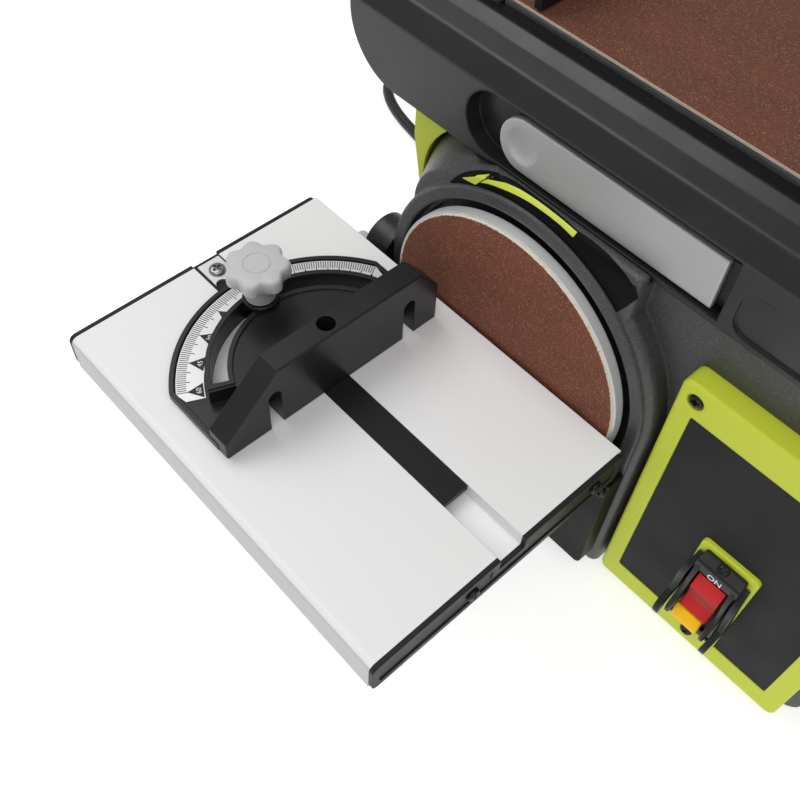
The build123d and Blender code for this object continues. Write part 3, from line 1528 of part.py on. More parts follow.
with BuildPart() as table_brackets:
    with BuildSketch(side_plane(bracket_lefts[0])):
        with BuildLine():
            rim = CenterArc(
                (tilt_y, tilt_z), quadrant_radius, lock_angle - tilt_deg - quadrant_spare,
                tilt_deg + 2 * quadrant_spare,
            )
            Polyline(rim @ 1, (tilt_y, tilt_z), rim @ 0)
        make_face()
        bracket_shape()
        with Locations((tilt_y, tilt_z)):
            Circle(tilt_pin_radius + press_fit, mode=Mode.SUBTRACT)
        with Locations((tilt_y, tilt_z)):
            SlotArc(
                Edge.make_circle(lock_reach, start_angle=lock_angle - tilt_deg, end_angle=lock_angle),
                slot_width,
                mode=Mode.SUBTRACT,
            )
    extrude(amount=bracket_plate)
    with BuildSketch(side_plane(bracket_lefts[1])):
        bracket_shape()
        with Locations((tilt_y, tilt_z)):
            Circle(tilt_pin_radius + press_fit, mode=Mode.SUBTRACT)
    extrude(amount=bracket_plate)
    for flange_x in (quadrant_right, bracket_lefts[1] - flange_width):
        with BuildSketch(side_plane(flange_x)):
            with Locations(((bracket_arm_front + bracket_arm_back) / 2, skin_bottom)):
                Rectangle(
                    bracket_arm_back - bracket_arm_front, bracket_flange, align=(Align.CENTER, Align.MAX)
                )
        extrude(amount=flange_width)
save(table_brackets, "table_brackets")

pin_head = 2.0
pin_head_radius = 6.0
pin_short = 2.0
pin_past = 1.0
with BuildPart() as hinge_pins:
    for pin_left, pin_end in (
        (bracket_lefts[0], housing_left - pin_short),
        (bracket_lefts[1], guard_ear_left + guard_ear_width + pin_past),
    ):
        pin_seat = seat((pin_left, tilt_y, tilt_z), (-1, 0, 0))
        post(pin_seat, pin_head_radius, 0, pin_head)
        post(pin_seat, tilt_pin_radius, pin_left - pin_end, 0)
save(hinge_pins, "hinge_pins")

lock_seat = seat((bracket_lefts[0], lock_y, lock_z), (-1, 0, 0))
lock_collar = 2.5
lock_collar_radius = 8.0
lock_knob_radius = 15.0
lock_knob_height = 15.0
table_knob_lobes = 7
with BuildPart() as table_lock_knob:
    lobed_head(
        lock_seat.offset(slide_gap + lock_collar), lock_knob_radius, lock_knob_height, table_knob_lobes
    )
    post(lock_seat, lock_collar_radius, slide_gap, slide_gap + lock_collar)
    post(lock_seat, lock_stud_radius, -bracket_plate - slide_gap - lock_stud_depth, slide_gap)
save(table_lock_knob, "table_lock_knob")

# Mitre gauge: bar in the slot, swinging head with its fence, lock knob, pointer
pivot_x = -106.0
pivot_y = mitre_slot_y
bar_left = -208.0
bar_right = -16.0
bar_width = 15.9
bar_height = 3.5
bar_drop = 0.2
pivot_radius = 4.0
pivot_top = 150.0
head_lift = 0.3
head_radius = 76.8
head_half_width = 66.3
head_floor = 2.8
head_rim_height = 4.0
head_rim_width = 2.4
shoulder_height = 11.9
shoulder_deg = 68.5
slot_lip_width = 2.5
slot_lip_rise = 0.9
fence_round = 1.0
ridge_hole_gap = 0.6
pivot_head_room = 1.0
fence_face_x = -99.0
fence_thickness = 12.6
fence_left = 66.0
fence_right = 66.5
fence_left_top = 139.0
fence_right_top = 152.5
ridge_left = 34.0
ridge_right = 53.5
ridge_top = 168.0
notch_left = 36.6
notch_right = 47.0
fence_notch_width = 7.5
fence_notch_top = 154.0
arc_slot_radius = 52.0
arc_slot_width = 8.2
swing_deg = 60.0
slot_end_deg = 4.5
slot_lip_deg = 2.7
mitre_stud_radius = 3.0
knob_radius = 17.0
knob_top = 166.0
knob_bottom = 153.6
knob_collar_radius = 8.2
pointer_sheet = 1.2
pointer_gap = 0.8
pointer_notch_radius = 2.8
pointer_notch_reach = 3.6
pointer_width = 15.0
pointer_screw_x = -197.0
pointer_screw_radius = 1.5
pointer_head_radius = 5.0
pointer_head_height = 2.2
pointer_head_round = 1.2
bar_top = table_top_z - bar_drop
bar_bottom = bar_top - bar_height
head_bottom = table_top_z + head_lift
shoulder_top = head_bottom + shoulder_height
shoulder_outer = arc_slot_radius + arc_slot_width / 2 + slot_lip_width
shoulder_inner = arc_slot_radius - arc_slot_width / 2 - slot_lip_width
pointer_tip = pivot_x - head_radius - pointer_gap
fence_back_x = fence_face_x - fence_thickness
mitre_knob_x = pivot_x - arc_slot_radius
with BuildPart() as mitre_bar:
    with BuildSketch(Plane.XY.offset(bar_bottom)):
        with Locations(((bar_left + bar_right) / 2, pivot_y)):
            Rectangle(bar_right - bar_left, bar_width)
        with Locations((mitre_knob_x, pivot_y)):
            Circle(mitre_stud_radius + run_fit, mode=Mode.SUBTRACT)
        with Locations((pointer_screw_x, pivot_y)):
            Circle(pointer_screw_radius + press_fit, mode=Mode.SUBTRACT)
    extrude(amount=bar_height)
    with Locations((pivot_x, pivot_y, bar_top)):
        Cylinder(pivot_radius, pivot_top - bar_top, align=(Align.CENTER, Align.CENTER, Align.MIN))
save(mitre_bar, "mitre_bar")



def plate_outline(inset):
    """The head's half disc with straight sides, brought in by an inset."""
    with Locations((pivot_x, pivot_y)):
        Circle(head_radius - inset)
        Rectangle(
            head_radius, 2 * (head_half_width - inset), align=(Align.MAX, Align.CENTER), mode=Mode.INTERSECT
        )


def curved_slot(width, reach, mode=Mode.ADD):
    """The slot that the clamping stud runs in, square at its ends."""
    with BuildLine() as edges:
        far = CenterArc((pivot_x, pivot_y), arc_slot_radius + width / 2, 180 - reach, 2 * reach)
        near = CenterArc((pivot_x, pivot_y), arc_slot_radius - width / 2, 180 - reach, 2 * reach)
        Line(far @ 0, near @ 0)
        Line(far @ 1, near @ 1)
    make_face(edges.edges(), mode=mode)


with BuildPart() as mitre_head:
    with BuildSketch(Plane.XY.offset(head_bottom)):
        plate_outline(0)
    extrude(amount=head_rim_height)
    with BuildSketch(Plane.XY.offset(head_bottom + head_floor)):
        plate_outline(head_rim_width)
    extrude(amount=head_rim_height - head_floor, mode=Mode.SUBTRACT)
    with BuildSketch(Plane.XY.offset(head_bottom)):
        with Locations((pivot_x, pivot_y)):
            Circle(shoulder_outer)
        for side in (-1, 1):
            with BuildLine():
                Polyline(
                    (pivot_x, pivot_y),
                    (
                        pivot_x - head_radius * math.cos(math.radians(shoulder_deg)),
                        pivot_y + side * head_radius * math.sin(math.radians(shoulder_deg)),
                    ),
                    (pivot_x, pivot_y + side * head_radius),
                    close=True,
                )
            make_face(mode=Mode.SUBTRACT)
        with Locations((pivot_x, pivot_y)):
            Circle(shoulder_inner)
            Rectangle(
                shoulder_outer, 2 * shoulder_outer, align=(Align.MAX, Align.CENTER), mode=Mode.INTERSECT
            )
    extrude(amount=shoulder_height)
    with BuildSketch(Plane.XY.offset(shoulder_top)):
        curved_slot(arc_slot_width + 2 * slot_lip_width, swing_deg + slot_end_deg + slot_lip_deg)
    extrude(amount=slot_lip_rise)
    with BuildSketch(side_plane(fence_back_x)):
        with BuildLine():
            Polyline(
                (pivot_y - fence_left, head_bottom),
                (pivot_y - fence_left, fence_left_top),
                (pivot_y - ridge_left, ridge_top),
                (pivot_y + ridge_right, ridge_top),
                (pivot_y + fence_right, fence_right_top),
                (pivot_y + fence_right, head_bottom),
                close=True,
            )
        make_face()
    extrude(amount=fence_thickness)
    fillet(mitre_head.edges().group_by(Axis.X)[-1].group_by(Axis.Z)[1:], radius=fence_round)
    with BuildSketch(side_plane(fence_face_x)):
        for notch_y in (pivot_y - notch_left, pivot_y + notch_right):
            with Locations((notch_y, fence_notch_top - fence_notch_width / 2)):
                Circle(fence_notch_width / 2)
                Rectangle(fence_notch_width, fence_notch_top - head_bottom, align=(Align.CENTER, Align.MAX))
    extrude(amount=-fence_thickness, mode=Mode.SUBTRACT)
    with BuildSketch(Plane.XY.offset(head_bottom)):
        curved_slot(arc_slot_width, swing_deg + slot_end_deg)
    extrude(amount=shoulder_height + slot_lip_rise, mode=Mode.SUBTRACT)
    with Locations((pivot_x, pivot_y, head_bottom)):
        Cylinder(
            pivot_radius + run_fit, pivot_top - head_bottom + pivot_head_room,
            align=(Align.CENTER, Align.CENTER, Align.MIN), mode=Mode.SUBTRACT,
        )
    with Locations((pivot_x, pivot_y, pivot_top + pivot_head_room)):
        Cylinder(
            pivot_radius + ridge_hole_gap, ridge_top - pivot_top,
            align=(Align.CENTER, Align.CENTER, Align.MIN), mode=Mode.SUBTRACT,
        )
save(mitre_head, "mitre_head")

knob_seat = Plane(origin=(mitre_knob_x, pivot_y, 0), z_dir=(0, 0, 1))
with BuildPart() as mitre_knob:
    lobed_head(knob_seat.offset(knob_bottom), knob_radius, knob_top - knob_bottom, table_knob_lobes)
    post(knob_seat, knob_collar_radius, shoulder_top + slot_lip_rise + slide_gap, knob_bottom)
    post(knob_seat, mitre_stud_radius, bar_bottom, shoulder_top + slot_lip_rise + slide_gap)
save(mitre_knob, "mitre_knob")

with BuildPart() as pointer_plate:
    with BuildSketch(Plane.XY.offset(bar_top)):
        with Locations(((bar_left + pointer_tip) / 2, pivot_y)):
            Rectangle(pointer_tip - bar_left, pointer_width)
        with Locations(*[(pointer_tip, pivot_y + side * pointer_notch_reach) for side in (-1, 1)]):
            Circle(pointer_notch_radius, mode=Mode.SUBTRACT)
        with Locations((pointer_screw_x, pivot_y)):
            Circle(pointer_screw_radius + press_fit, mode=Mode.SUBTRACT)
    extrude(amount=pointer_sheet)
save(pointer_plate, "pointer_plate")

with BuildPart() as pointer_screw:
    pointer_seat = Plane(origin=(pointer_screw_x, pivot_y, bar_top + pointer_sheet), z_dir=(0, 0, 1))
    post(pointer_seat, pointer_head_radius, 0, pointer_head_height)
    fillet(pointer_screw.edges().group_by(Axis.Z)[-1], radius=pointer_head_round)
    post(pointer_seat, pointer_screw_radius, -pointer_sheet - bar_height, 0)
save(pointer_screw, "pointer_screw")

# Mains cord: gland in the left wall, the run over the bench, the spare length coiled and tied, the plug
cord_radius = cord_diameter / 2
cord_fit = 0.1
gland_flange = 4.0
gland_length = 34.0
gland_flange_radius = 11.0
gland_root_radius = 8.5
gland_tip_radius = 6.0
cord_inside = 4.0
cord_landing = 0.7
cord_leaving = 0.4
cord_rising = 1.2
tie_sheet = 1.5
tie_gap = 0.3
tie_width = 10.0
tie_turn = 0.3
tie_corner = 4.0
coil_centre_x = -238.0
coil_centre_y = 192.0
coil_outer = 56.0
coil_gap = 0.7
coil_start_deg = 98.0
coil_layer_turns = 2.25
coil_climb_turns = 0.5
coil_step = 0.25
coil_tail = 40.0
coil_pitch = cord_diameter + coil_gap
coil_inner = coil_outer - coil_pitch * coil_layer_turns
coil_turns = 2 * coil_layer_turns + coil_climb_turns
coil_z = tie_sheet + tie_gap + cord_radius
bench_clear = 0.05
bend_share = 0.45
cord_z = cord_radius + bench_clear


def coil_radius(turn):
    """Radius of the wound cord: in through the lower layer, round the turn, out through the upper."""
    if turn <= coil_layer_turns:
        return coil_outer - coil_pitch * turn
    if turn >= coil_layer_turns + coil_climb_turns:
        return coil_inner + coil_pitch * (turn - coil_layer_turns - coil_climb_turns)
    climbed = (turn - coil_layer_turns) / coil_climb_turns
    return coil_inner - coil_pitch * coil_climb_turns / math.pi * math.sin(math.pi * climbed)


def coil_point(turn):
    """Centre of the wound cord after so many turns, clockwise from above."""
    climbed = min(max((turn - coil_layer_turns) / coil_climb_turns, 0.0), 1.0)
    angle = math.radians(coil_start_deg - 360.0 * turn)
    return Vector(
        coil_centre_x + coil_radius(turn) * math.cos(angle),
        coil_centre_y + coil_radius(turn) * math.sin(angle),
        coil_z + coil_pitch * (3 * climbed**2 - 2 * climbed**3),
    )


def coil_heading(turn):
    """Way the wound cord runs at that turn."""
    step = 1e-5
    return (coil_point(turn + step) - coil_point(turn - step)).normalized()


def biarc(start, end, start_way, end_way):
    """Where the two arcs between two points meet, and the way they run there."""
    chord = end - start
    ways = start_way + end_way
    spread = 2 * (1 - start_way.dot(end_way))
    along = chord.dot(ways)
    reach = (math.sqrt(along**2 + spread * chord.dot(chord)) - along) / spread
    near = start + start_way * reach
    far = end - end_way * reach
    return (near + far) * 0.5, (far - near).normalized()


def corner_radii(points):
    """Largest soft bend at each inner point of a route."""
    radii = []
    for before, here, after in zip(points, points[1:], points[2:]):
        arriving = Vector(*here) - Vector(*before)
        leaving = Vector(*after) - Vector(*here)
        half_turn = math.radians(arriving.get_angle(leaving)) / 2
        radii.append(bend_share * min(arriving.length, leaving.length) / math.tan(half_turn))
    return radii


coil_entry = coil_point(0) - coil_heading(0) * cord_diameter
coil_exit = coil_point(coil_turns) + coil_heading(coil_turns) * coil_tail
last_run = 37.0
before_coil = coil_entry - coil_heading(0) * last_run
cord_route = [
    (housing_left + cord_inside, gland_y, gland_z),
    (-218.0, gland_y, gland_z),
    (-285.0, 97.0, cord_z + cord_landing),
    (-362.0, 111.0, cord_z),
    (-390.1, 142.2, cord_z),
    (-393.0, 184.1, cord_z),
    (-369.5, 218.9, cord_z + cord_leaving),
    (-329.6, 231.9, cord_z + cord_rising),
    (before_coil.X, before_coil.Y, coil_z),
    (coil_entry.X, coil_entry.Y, coil_z),
]

gland_seat = seat((housing_left, gland_y, gland_z), (-1, 0, 0))
with BuildPart() as strain_relief:
    post(gland_seat, gland_hole_radius - run_fit, -wall, 0)
    post(gland_seat, gland_flange_radius, 0, gland_flange)
    with Locations(gland_seat.offset(gland_flange)):
        Cone(
            gland_root_radius, gland_tip_radius, gland_length - gland_flange,
            align=(Align.CENTER, Align.CENTER, Align.MIN),
        )
    with Locations(gland_seat.offset(-wall)):
        Cylinder(
            cord_radius + cord_fit, wall + gland_length,
            align=(Align.CENTER, Align.CENTER, Align.MIN), mode=Mode.SUBTRACT,
        )
save(strain_relief, "strain_relief")

bends = corner_radii(cord_route)
with BuildPart() as power_cord:
    with BuildLine() as free_run:
        FilletPolyline(*cord_route, radius=bends)
    with BuildSketch(Plane(origin=free_run.line @ 0, z_dir=free_run.line % 0)):
        Circle(cord_radius)
    sweep()
save(power_cord, "power_cord")

with BuildPart() as cord_coil:
    with BuildLine() as winding:
        Line(coil_entry, coil_point(0))
        for quarter in range(round(coil_turns / coil_step)):
            here = quarter * coil_step
            there = here + coil_step
            joint, joint_way = biarc(
                coil_point(here), coil_point(there), coil_heading(here), coil_heading(there)
            )
            TangentArc(coil_point(here), joint, tangent=coil_heading(here))
            TangentArc(joint, coil_point(there), tangent=joint_way)
        Line(coil_point(coil_turns), coil_exit)
    with BuildSketch(Plane(origin=coil_entry, z_dir=coil_heading(0))):
        Circle(cord_radius)
    sweep()
save(cord_coil, "cord_coil")

free_length = free_run.wire().length
coil_length = winding.wire().length
samples = [coil_point(coil_turns * n / 1000) for n in range(1001)]
half_lap = 100
nearest = min(
    (samples[a] - samples[b]).length
    for a in range(0, len(samples), 2)
    for b in range(a + half_lap, len(samples), 2)
)
section = math.pi * cord_radius**2
print("cord bend radii", [round(r, 1) for r in bends])
print("free run", round(free_length), "volume ratio", power_cord.part.volume / (section * free_length))
print("coil", round(coil_length), "volume ratio", cord_coil.part.volume / (section * coil_length))
print("coil gap to itself", round(nearest - cord_diameter, 2))

tie_angle = math.radians(coil_start_deg - 360.0 * tie_turn)
tie_plane = Plane(
    origin=(coil_centre_x, coil_centre_y, 0),
    x_dir=(math.cos(tie_angle), math.sin(tie_angle), 0),
    z_dir=(math.sin(tie_angle), -math.cos(tie_angle), 0),
)
tied_radii = [coil_radius(lap + tie_turn) for lap in range(round(coil_turns))]
tie_inner = min(tied_radii) - cord_radius - 3 * tie_gap
tie_outer = max(tied_radii) + cord_radius + tie_gap
tie_mid = ((tie_inner + tie_outer) / 2, coil_z + coil_pitch / 2)
tie_height = coil_pitch + cord_diameter + 2 * tie_gap
with BuildPart() as coil_tie:
    with BuildSketch(tie_plane.offset(-tie_width / 2)):
        with Locations(tie_mid):
            RectangleRounded(tie_outer - tie_inner + 2 * tie_sheet, tie_height + 2 * tie_sheet, tie_corner)
            RectangleRounded(
                tie_outer - tie_inner, tie_height, tie_corner - tie_sheet, mode=Mode.SUBTRACT
            )
    extrude(amount=tie_width)
save(coil_tie, "coil_tie")

plug_seat = Plane(origin=coil_exit, x_dir=(0, 0, 1), z_dir=coil_heading(coil_turns))
plug_neck = 18.0
plug_length = 30.0
plug_width = 24.0
plug_across = 27.0
plug_corner = 6.0
plug_round = 1.5
plug_neck_radius = 5.5
plug_root_radius = 8.0
blade_width = 6.3
blade_sheet = 1.5
blade_length = 17.5
blade_half_pitch = 6.35
blade_offset = 3.0
earth_radius = 2.4
earth_length = 20.5
earth_offset = -8.5
with BuildPart() as mains_plug:
    with Locations(plug_seat):
        Cone(plug_neck_radius, plug_root_radius, plug_neck, align=(Align.CENTER, Align.CENTER, Align.MIN))
    with BuildSketch(plug_seat.offset(plug_neck)):
        RectangleRounded(plug_width, plug_across, plug_corner)
    extrude(amount=plug_length)
    plug_face = mains_plug.faces().sort_by(Axis(plug_seat.origin, plug_seat.z_dir))[-1]
    fillet(plug_face.edges(), radius=plug_round)
    with Locations(plug_seat.offset(plug_neck + plug_length)):
        with Locations((blade_offset, blade_half_pitch, 0), (blade_offset, -blade_half_pitch, 0)):
            Box(blade_width, blade_sheet, blade_length, align=(Align.CENTER, Align.CENTER, Align.MIN))
        with Locations((earth_offset, 0, 0)):
            Cylinder(earth_radius, earth_length, align=(Align.CENTER, Align.CENTER, Align.MIN))
save(mains_plug, "mains_plug")
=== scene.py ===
import math

import bmesh
import bpy
from mathutils import Matrix, Vector


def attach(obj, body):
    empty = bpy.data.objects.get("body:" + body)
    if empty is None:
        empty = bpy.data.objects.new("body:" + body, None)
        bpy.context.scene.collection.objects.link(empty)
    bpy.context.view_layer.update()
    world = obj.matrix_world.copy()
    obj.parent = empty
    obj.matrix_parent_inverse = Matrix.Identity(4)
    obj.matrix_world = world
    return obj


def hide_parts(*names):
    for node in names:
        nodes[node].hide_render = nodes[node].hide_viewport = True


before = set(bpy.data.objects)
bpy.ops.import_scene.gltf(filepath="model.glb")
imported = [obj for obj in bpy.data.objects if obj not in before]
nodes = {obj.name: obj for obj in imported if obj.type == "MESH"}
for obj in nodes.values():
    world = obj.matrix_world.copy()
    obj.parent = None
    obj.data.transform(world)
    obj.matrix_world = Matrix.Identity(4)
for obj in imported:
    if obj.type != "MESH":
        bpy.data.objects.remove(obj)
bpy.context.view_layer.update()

scene = bpy.context.scene
mm = 0.001

# Studio: a wide pale bench top under a white room and two large soft lamps.
# The camera stands above the front right corner of the work table and looks down along it.
picture_width = 800
focal_pixels = 973.965
camera_lens = bpy.data.cameras.new("camera")
camera_lens.sensor_width = 36.0
camera_lens.lens = camera_lens.sensor_width * focal_pixels / picture_width
camera_lens.clip_start = 0.02
camera_lens.clip_end = 30.0
camera = bpy.data.objects.new("camera", camera_lens)
camera.matrix_world = Matrix(
    (
        (0.67432565, -0.61617613, 0.40695442, 0.120693),
        (0.73754552, 0.53497692, -0.41209986, -0.339152),
        (0.03621488, 0.57803692, 0.8152066, 0.513611),
        (0.0, 0.0, 0.0, 1.0),
    )
)
scene.collection.objects.link(camera)
scene.camera = camera
scene.view_settings.view_transform = "Standard"


def tint(red, green, blue):
    """A colour as seen on a screen, 0 to 255, turned into the shader's linear values."""
    return tuple(
        part / 12.92 if part <= 0.04045 else ((part + 0.055) / 1.055) ** 2.4
        for part in (red / 255, green / 255, blue / 255)
    ) + (1.0,)


def new_finish(name, colour, roughness, metallic=0.0, shine=0.5):
    """A new material with plain values on its shader; returns the material, its tree and its shader."""
    finish = bpy.data.materials.new(name)
    finish.use_nodes = True
    shader = finish.node_tree.nodes["Principled BSDF"]
    shader.inputs["Base Color"].default_value = colour
    shader.inputs["Roughness"].default_value = roughness
    shader.inputs["Metallic"].default_value = metallic
    shader.inputs["Specular IOR Level"].default_value = shine
    return finish, finish.node_tree, shader


def put(tree, kind, feeds=None, **options):
    """A new node in a tree: its options set, its inputs given values or the sockets that feed them."""
    node = tree.nodes.new("ShaderNode" + kind)
    for option, value in options.items():
        setattr(node, option, value)
    for socket, value in (feeds or {}).items():
        if isinstance(value, bpy.types.NodeSocket):
            tree.links.new(value, node.inputs[socket])
        else:
            node.inputs[socket].default_value = value
    return node


def place_in(tree):
    """Where a point lies on the object, in metres."""
    return put(tree, "TexCoord").outputs["Object"]


bench_finish, bench_tree, bench_shader = new_finish("pale_bench", tint(212, 212, 212), roughness=0.8)
bench_noise = put(bench_tree, "TexNoise", {"Vector": place_in(bench_tree), "Scale": 3.0, "Detail": 2.0})
bench_ramp = put(bench_tree, "ValToRGB", {"Fac": bench_noise.outputs["Fac"]})
bench_ramp.color_ramp.elements[0].color = tint(208, 208, 208)
bench_ramp.color_ramp.elements[1].color = tint(216, 216, 216)
bench_tree.links.new(bench_ramp.outputs["Color"], bench_shader.inputs["Base Color"])
bench_shader.inputs["Emission Color"].default_value = (1.0, 1.0, 1.0, 1.0)
bench_shader.inputs["Emission Strength"].default_value = 0.62
bench = bmesh.new()
bmesh.ops.create_grid(bench, x_segments=4, y_segments=4, size=4.0)
bench_mesh = bpy.data.meshes.new("bench_top")
bench.to_mesh(bench_mesh)
bench.free()
bench_mesh.materials.append(bench_finish)
bench_top = bpy.data.objects.new("bench_top", bench_mesh)
scene.collection.objects.link(bench_top)

room = bpy.data.worlds.new("white_room")
room.use_nodes = True
room.node_tree.nodes["Background"].inputs["Color"].default_value = (1.0, 1.0, 1.0, 1.0)
room.node_tree.nodes["Background"].inputs["Strength"].default_value = 0.42
scene.world = room
lamp_aim = Vector((-0.05, -0.1, 0.15))
for lamp_name, lamp_place, lamp_size, lamp_power in (
    ("window_lamp", (-1.0, -0.3, 1.7), 1.2, 12.0),
    ("front_lamp", (0.6, -0.75, 1.65), 1.6, 11.0),
):
    lamp_data = bpy.data.lights.new(lamp_name, "AREA")
    lamp_data.shape = "SQUARE"
    lamp_data.size = lamp_size
    lamp_data.energy = lamp_power
    lamp = bpy.data.objects.new(lamp_name, lamp_data)
    lamp.location = lamp_place
    lamp.rotation_euler = (lamp_aim - Vector(lamp_place)).to_track_quat("-Z", "Y").to_euler()
    scene.collection.objects.link(lamp)

# Main housing: one hollow grey iron casting with the disc's well in front and the arm's bracket behind,
# coated with a charcoal hammered powder paint that leaves fine light specks on every rounded edge.
# The lug on its left, which carries the table, is smoother and blacker.


def new_group(name, inputs, outputs):
    """A node group with named sockets; returns its tree, what it is given and what it gives."""
    group = bpy.data.node_groups.new(name, "ShaderNodeTree")
    for way, sockets in (("INPUT", inputs), ("OUTPUT", outputs)):
        for label, kind in sockets.items():
            group.interface.new_socket(label, in_out=way, socket_type="NodeSocket" + kind)
    return group, group.nodes.new("NodeGroupInput").outputs, group.nodes.new("NodeGroupOutput").inputs


def skin_group(name):
    """A group that gives a surface its colour, its gloss and its relief."""
    numbers = {label: "Float" for label in ("Scale", "Mottle", "Smooth", "Rough")}
    return new_group(
        name, {"Vector": "Vector", "Colour": "Color", **numbers},
        {"Colour": "Color", "Roughness": "Float", "Height": "Float"},
    )


def give(group, gives, **sockets):
    """Lead sockets inside a group to what it gives."""
    for label, socket in sockets.items():
        group.links.new(socket, gives[label])


def reckon(tree, operation, *values, kind="Math"):
    """The result of one sum on numbers, or on places with the vector kind."""
    return put(tree, kind, dict(enumerate(values)), operation=operation).outputs[0]


def close_skin(group, has, gives, swing, gloss, relief):
    """Close a skin: a swing about zero shades its colour, one noise sets its gloss and one its relief."""
    shade = reckon(group, "MULTIPLY_ADD", swing, has["Mottle"], 1.0)
    colour = put(group, "HueSaturation", {"Color": has["Colour"], "Value": shade})
    rough = put(
        group, "MapRange",
        {"Value": gloss, "From Min": 0.3, "From Max": 0.7, "To Min": has["Smooth"], "To Max": has["Rough"]},
    )
    give(group, gives, Colour=colour.outputs["Color"], Roughness=rough.outputs[0], Height=relief)


grain, grain_has, grain_gives = skin_group("surface_grain")
grain_fine = put(
    grain, "TexNoise",
    {"Vector": grain_has["Vector"], "Scale": grain_has["Scale"], "Detail": 3.0, "Roughness": 0.6},
).outputs["Fac"]
grain_broad = put(
    grain, "TexNoise", {"Vector": grain_has["Vector"], "Scale": 40.0, "Detail": 4.0}
).outputs["Fac"]
grain_swing = reckon(grain, "SUBTRACT", reckon(grain, "ADD", grain_fine, grain_broad), 1.0)
close_skin(grain, grain_has, grain_gives, grain_swing, grain_broad, grain_fine)

specks, specks_has, specks_give = new_group(
    "specks",
    {"Vector": "Vector", "Scale": "Float", "Share": "Float"}, {"Mask": "Float", "Shade": "Float"},
)
speck_cells = put(specks, "TexVoronoi", {"Vector": specks_has["Vector"], "Scale": specks_has["Scale"]})
speck_random = put(specks, "SeparateColor", {"Color": speck_cells.outputs["Color"]})
speck_mask = reckon(specks, "LESS_THAN", speck_random.outputs[0], specks_has["Share"])
give(specks, specks_give, Mask=speck_mask, Shade=speck_random.outputs[1])


def scatter(tree, scale, share):
    """Specks strewn over a surface: so many a metre, a share of them showing."""
    return put(
        tree, "Group", {"Vector": place_in(tree), "Scale": scale, "Share": share}, node_tree=specks
    ).outputs


def mixed(tree, share, first, second):
    """Two colours mixed by a share."""
    return put(tree, "Mix", {0: share, 6: first, 7: second}, data_type="RGBA").outputs[2]


def over(finish, share, colour):
    """Lay another colour over what a finish already shows, by a share."""
    tree = finish.node_tree
    shown = tree.nodes["Principled BSDF"].inputs["Base Color"]
    tree.links.new(mixed(tree, share, shown.links[0].from_socket, colour), shown)


def along(tree, axis):
    """How far along X, Y or Z a point lies, in metres."""
    return put(tree, "SeparateXYZ", {0: place_in(tree)}).outputs[axis]


def rise(tree, value, start, end, most=1.0):
    """A share that grows from none to its most between two places given in millimetres."""
    return put(
        tree, "MapRange", {"Value": value, "From Min": start * mm, "From Max": end * mm, "To Max": most}
    ).outputs[0]


def wear(tree, shader, skin, depth, edge):
    """Show a skin's colour, gloss and relief on a shader, over edges rounded by a small radius."""
    tree.links.new(skin.outputs["Colour"], shader.inputs["Base Color"])
    tree.links.new(skin.outputs["Roughness"], shader.inputs["Roughness"])
    rounded = put(tree, "Bevel", {"Radius": edge * mm}, samples=4).outputs["Normal"]
    bump = put(
        tree, "Bump",
        {"Height": skin.outputs["Height"], "Strength": 1.0, "Distance": depth * mm, "Normal": rounded},
    )
    tree.links.new(bump.outputs["Normal"], shader.inputs["Normal"])


def grained(name, colour, scale, mottle, smooth, rough, depth, edge=0.5, metallic=0.0, shine=0.5):
    """A finish of one colour with its surface grain."""
    finish, tree, shader = new_finish(name, colour, rough, metallic, shine)
    skin = put(
        tree, "Group",
        {
            "Vector": place_in(tree), "Colour": colour, "Scale": scale, "Mottle": mottle,
            "Smooth": smooth, "Rough": rough,
        },
        node_tree=grain,
    )
    wear(tree, shader, skin, depth, edge)
    return finish


def dress(finish, *names):
    """Give CAD pieces their finish."""
    for name in names:
        for slot in nodes[name].material_slots:
            slot.material = finish


cast_paint = grained(
    "hammered_charcoal", tint(59, 60, 61), scale=950.0, mottle=0.24, smooth=0.28, rough=0.4, depth=0.2,
    edge=2.0,
)
cast_tree = cast_paint.node_tree
over(cast_paint, scatter(cast_tree, scale=1900.0, share=0.18)["Mask"], tint(76, 77, 78))
lug_root_x = -151.0
over(cast_paint, rise(cast_tree, along(cast_tree, "X"), lug_root_x, lug_root_x - 1.5), tint(20, 20, 21))
dress(cast_paint, "main_housing")


def settle(bm, name, body, finish, slot, *stands_for, crease=35.0):
    """Close a modelled piece, turn its millimetres into metres and let it ride on its body."""
    bmesh.ops.remove_doubles(bm, verts=bm.verts, dist=0.001)
    bmesh.ops.recalc_face_normals(bm, faces=bm.faces)
    bmesh.ops.scale(bm, vec=(mm, mm, mm), verts=bm.verts)
    mesh = bpy.data.meshes.new(name)
    bm.to_mesh(mesh)
    bm.free()
    mesh.shade_smooth()
    mesh.set_sharp_from_angle(angle=math.radians(crease))
    mesh.materials.append(finish)
    piece = bpy.data.objects.new(name, mesh)
    scene.collection.objects.link(piece)
    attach(piece, body)
    if stands_for:
        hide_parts(*stands_for)


# Rim label: a black vinyl strip stuck round the upper rim of the disc's well, with a lime turning arrow.
# Both are thin films that follow the rim's flat face, roll back over its rounded top and, at their left
# end, lean back with the drafted shoulder of the casting.
disc_x = -65.0
disc_z = 126.5
rim_y = -75.0
rim_round = 5.0
rim_flat_top = 212.7
roll_rate = 0.63
roll_slide = 0.99
shoulder_x = -104.1
shoulder_z = 170.0
shoulder_reach = 34.94
shoulder_out = Vector((-0.446, 0.0, 0.895))
draft_rate = 0.52
draft_slide = Vector((-0.93, 1.0, -1.2))
film_lift = 0.12
film_sink = 0.05
arrow_sheet = 0.528


def polar(reach, degrees):
    """A point about the disc's axis."""
    return Vector((reach * math.cos(math.radians(degrees)), 0.0, reach * math.sin(math.radians(degrees))))


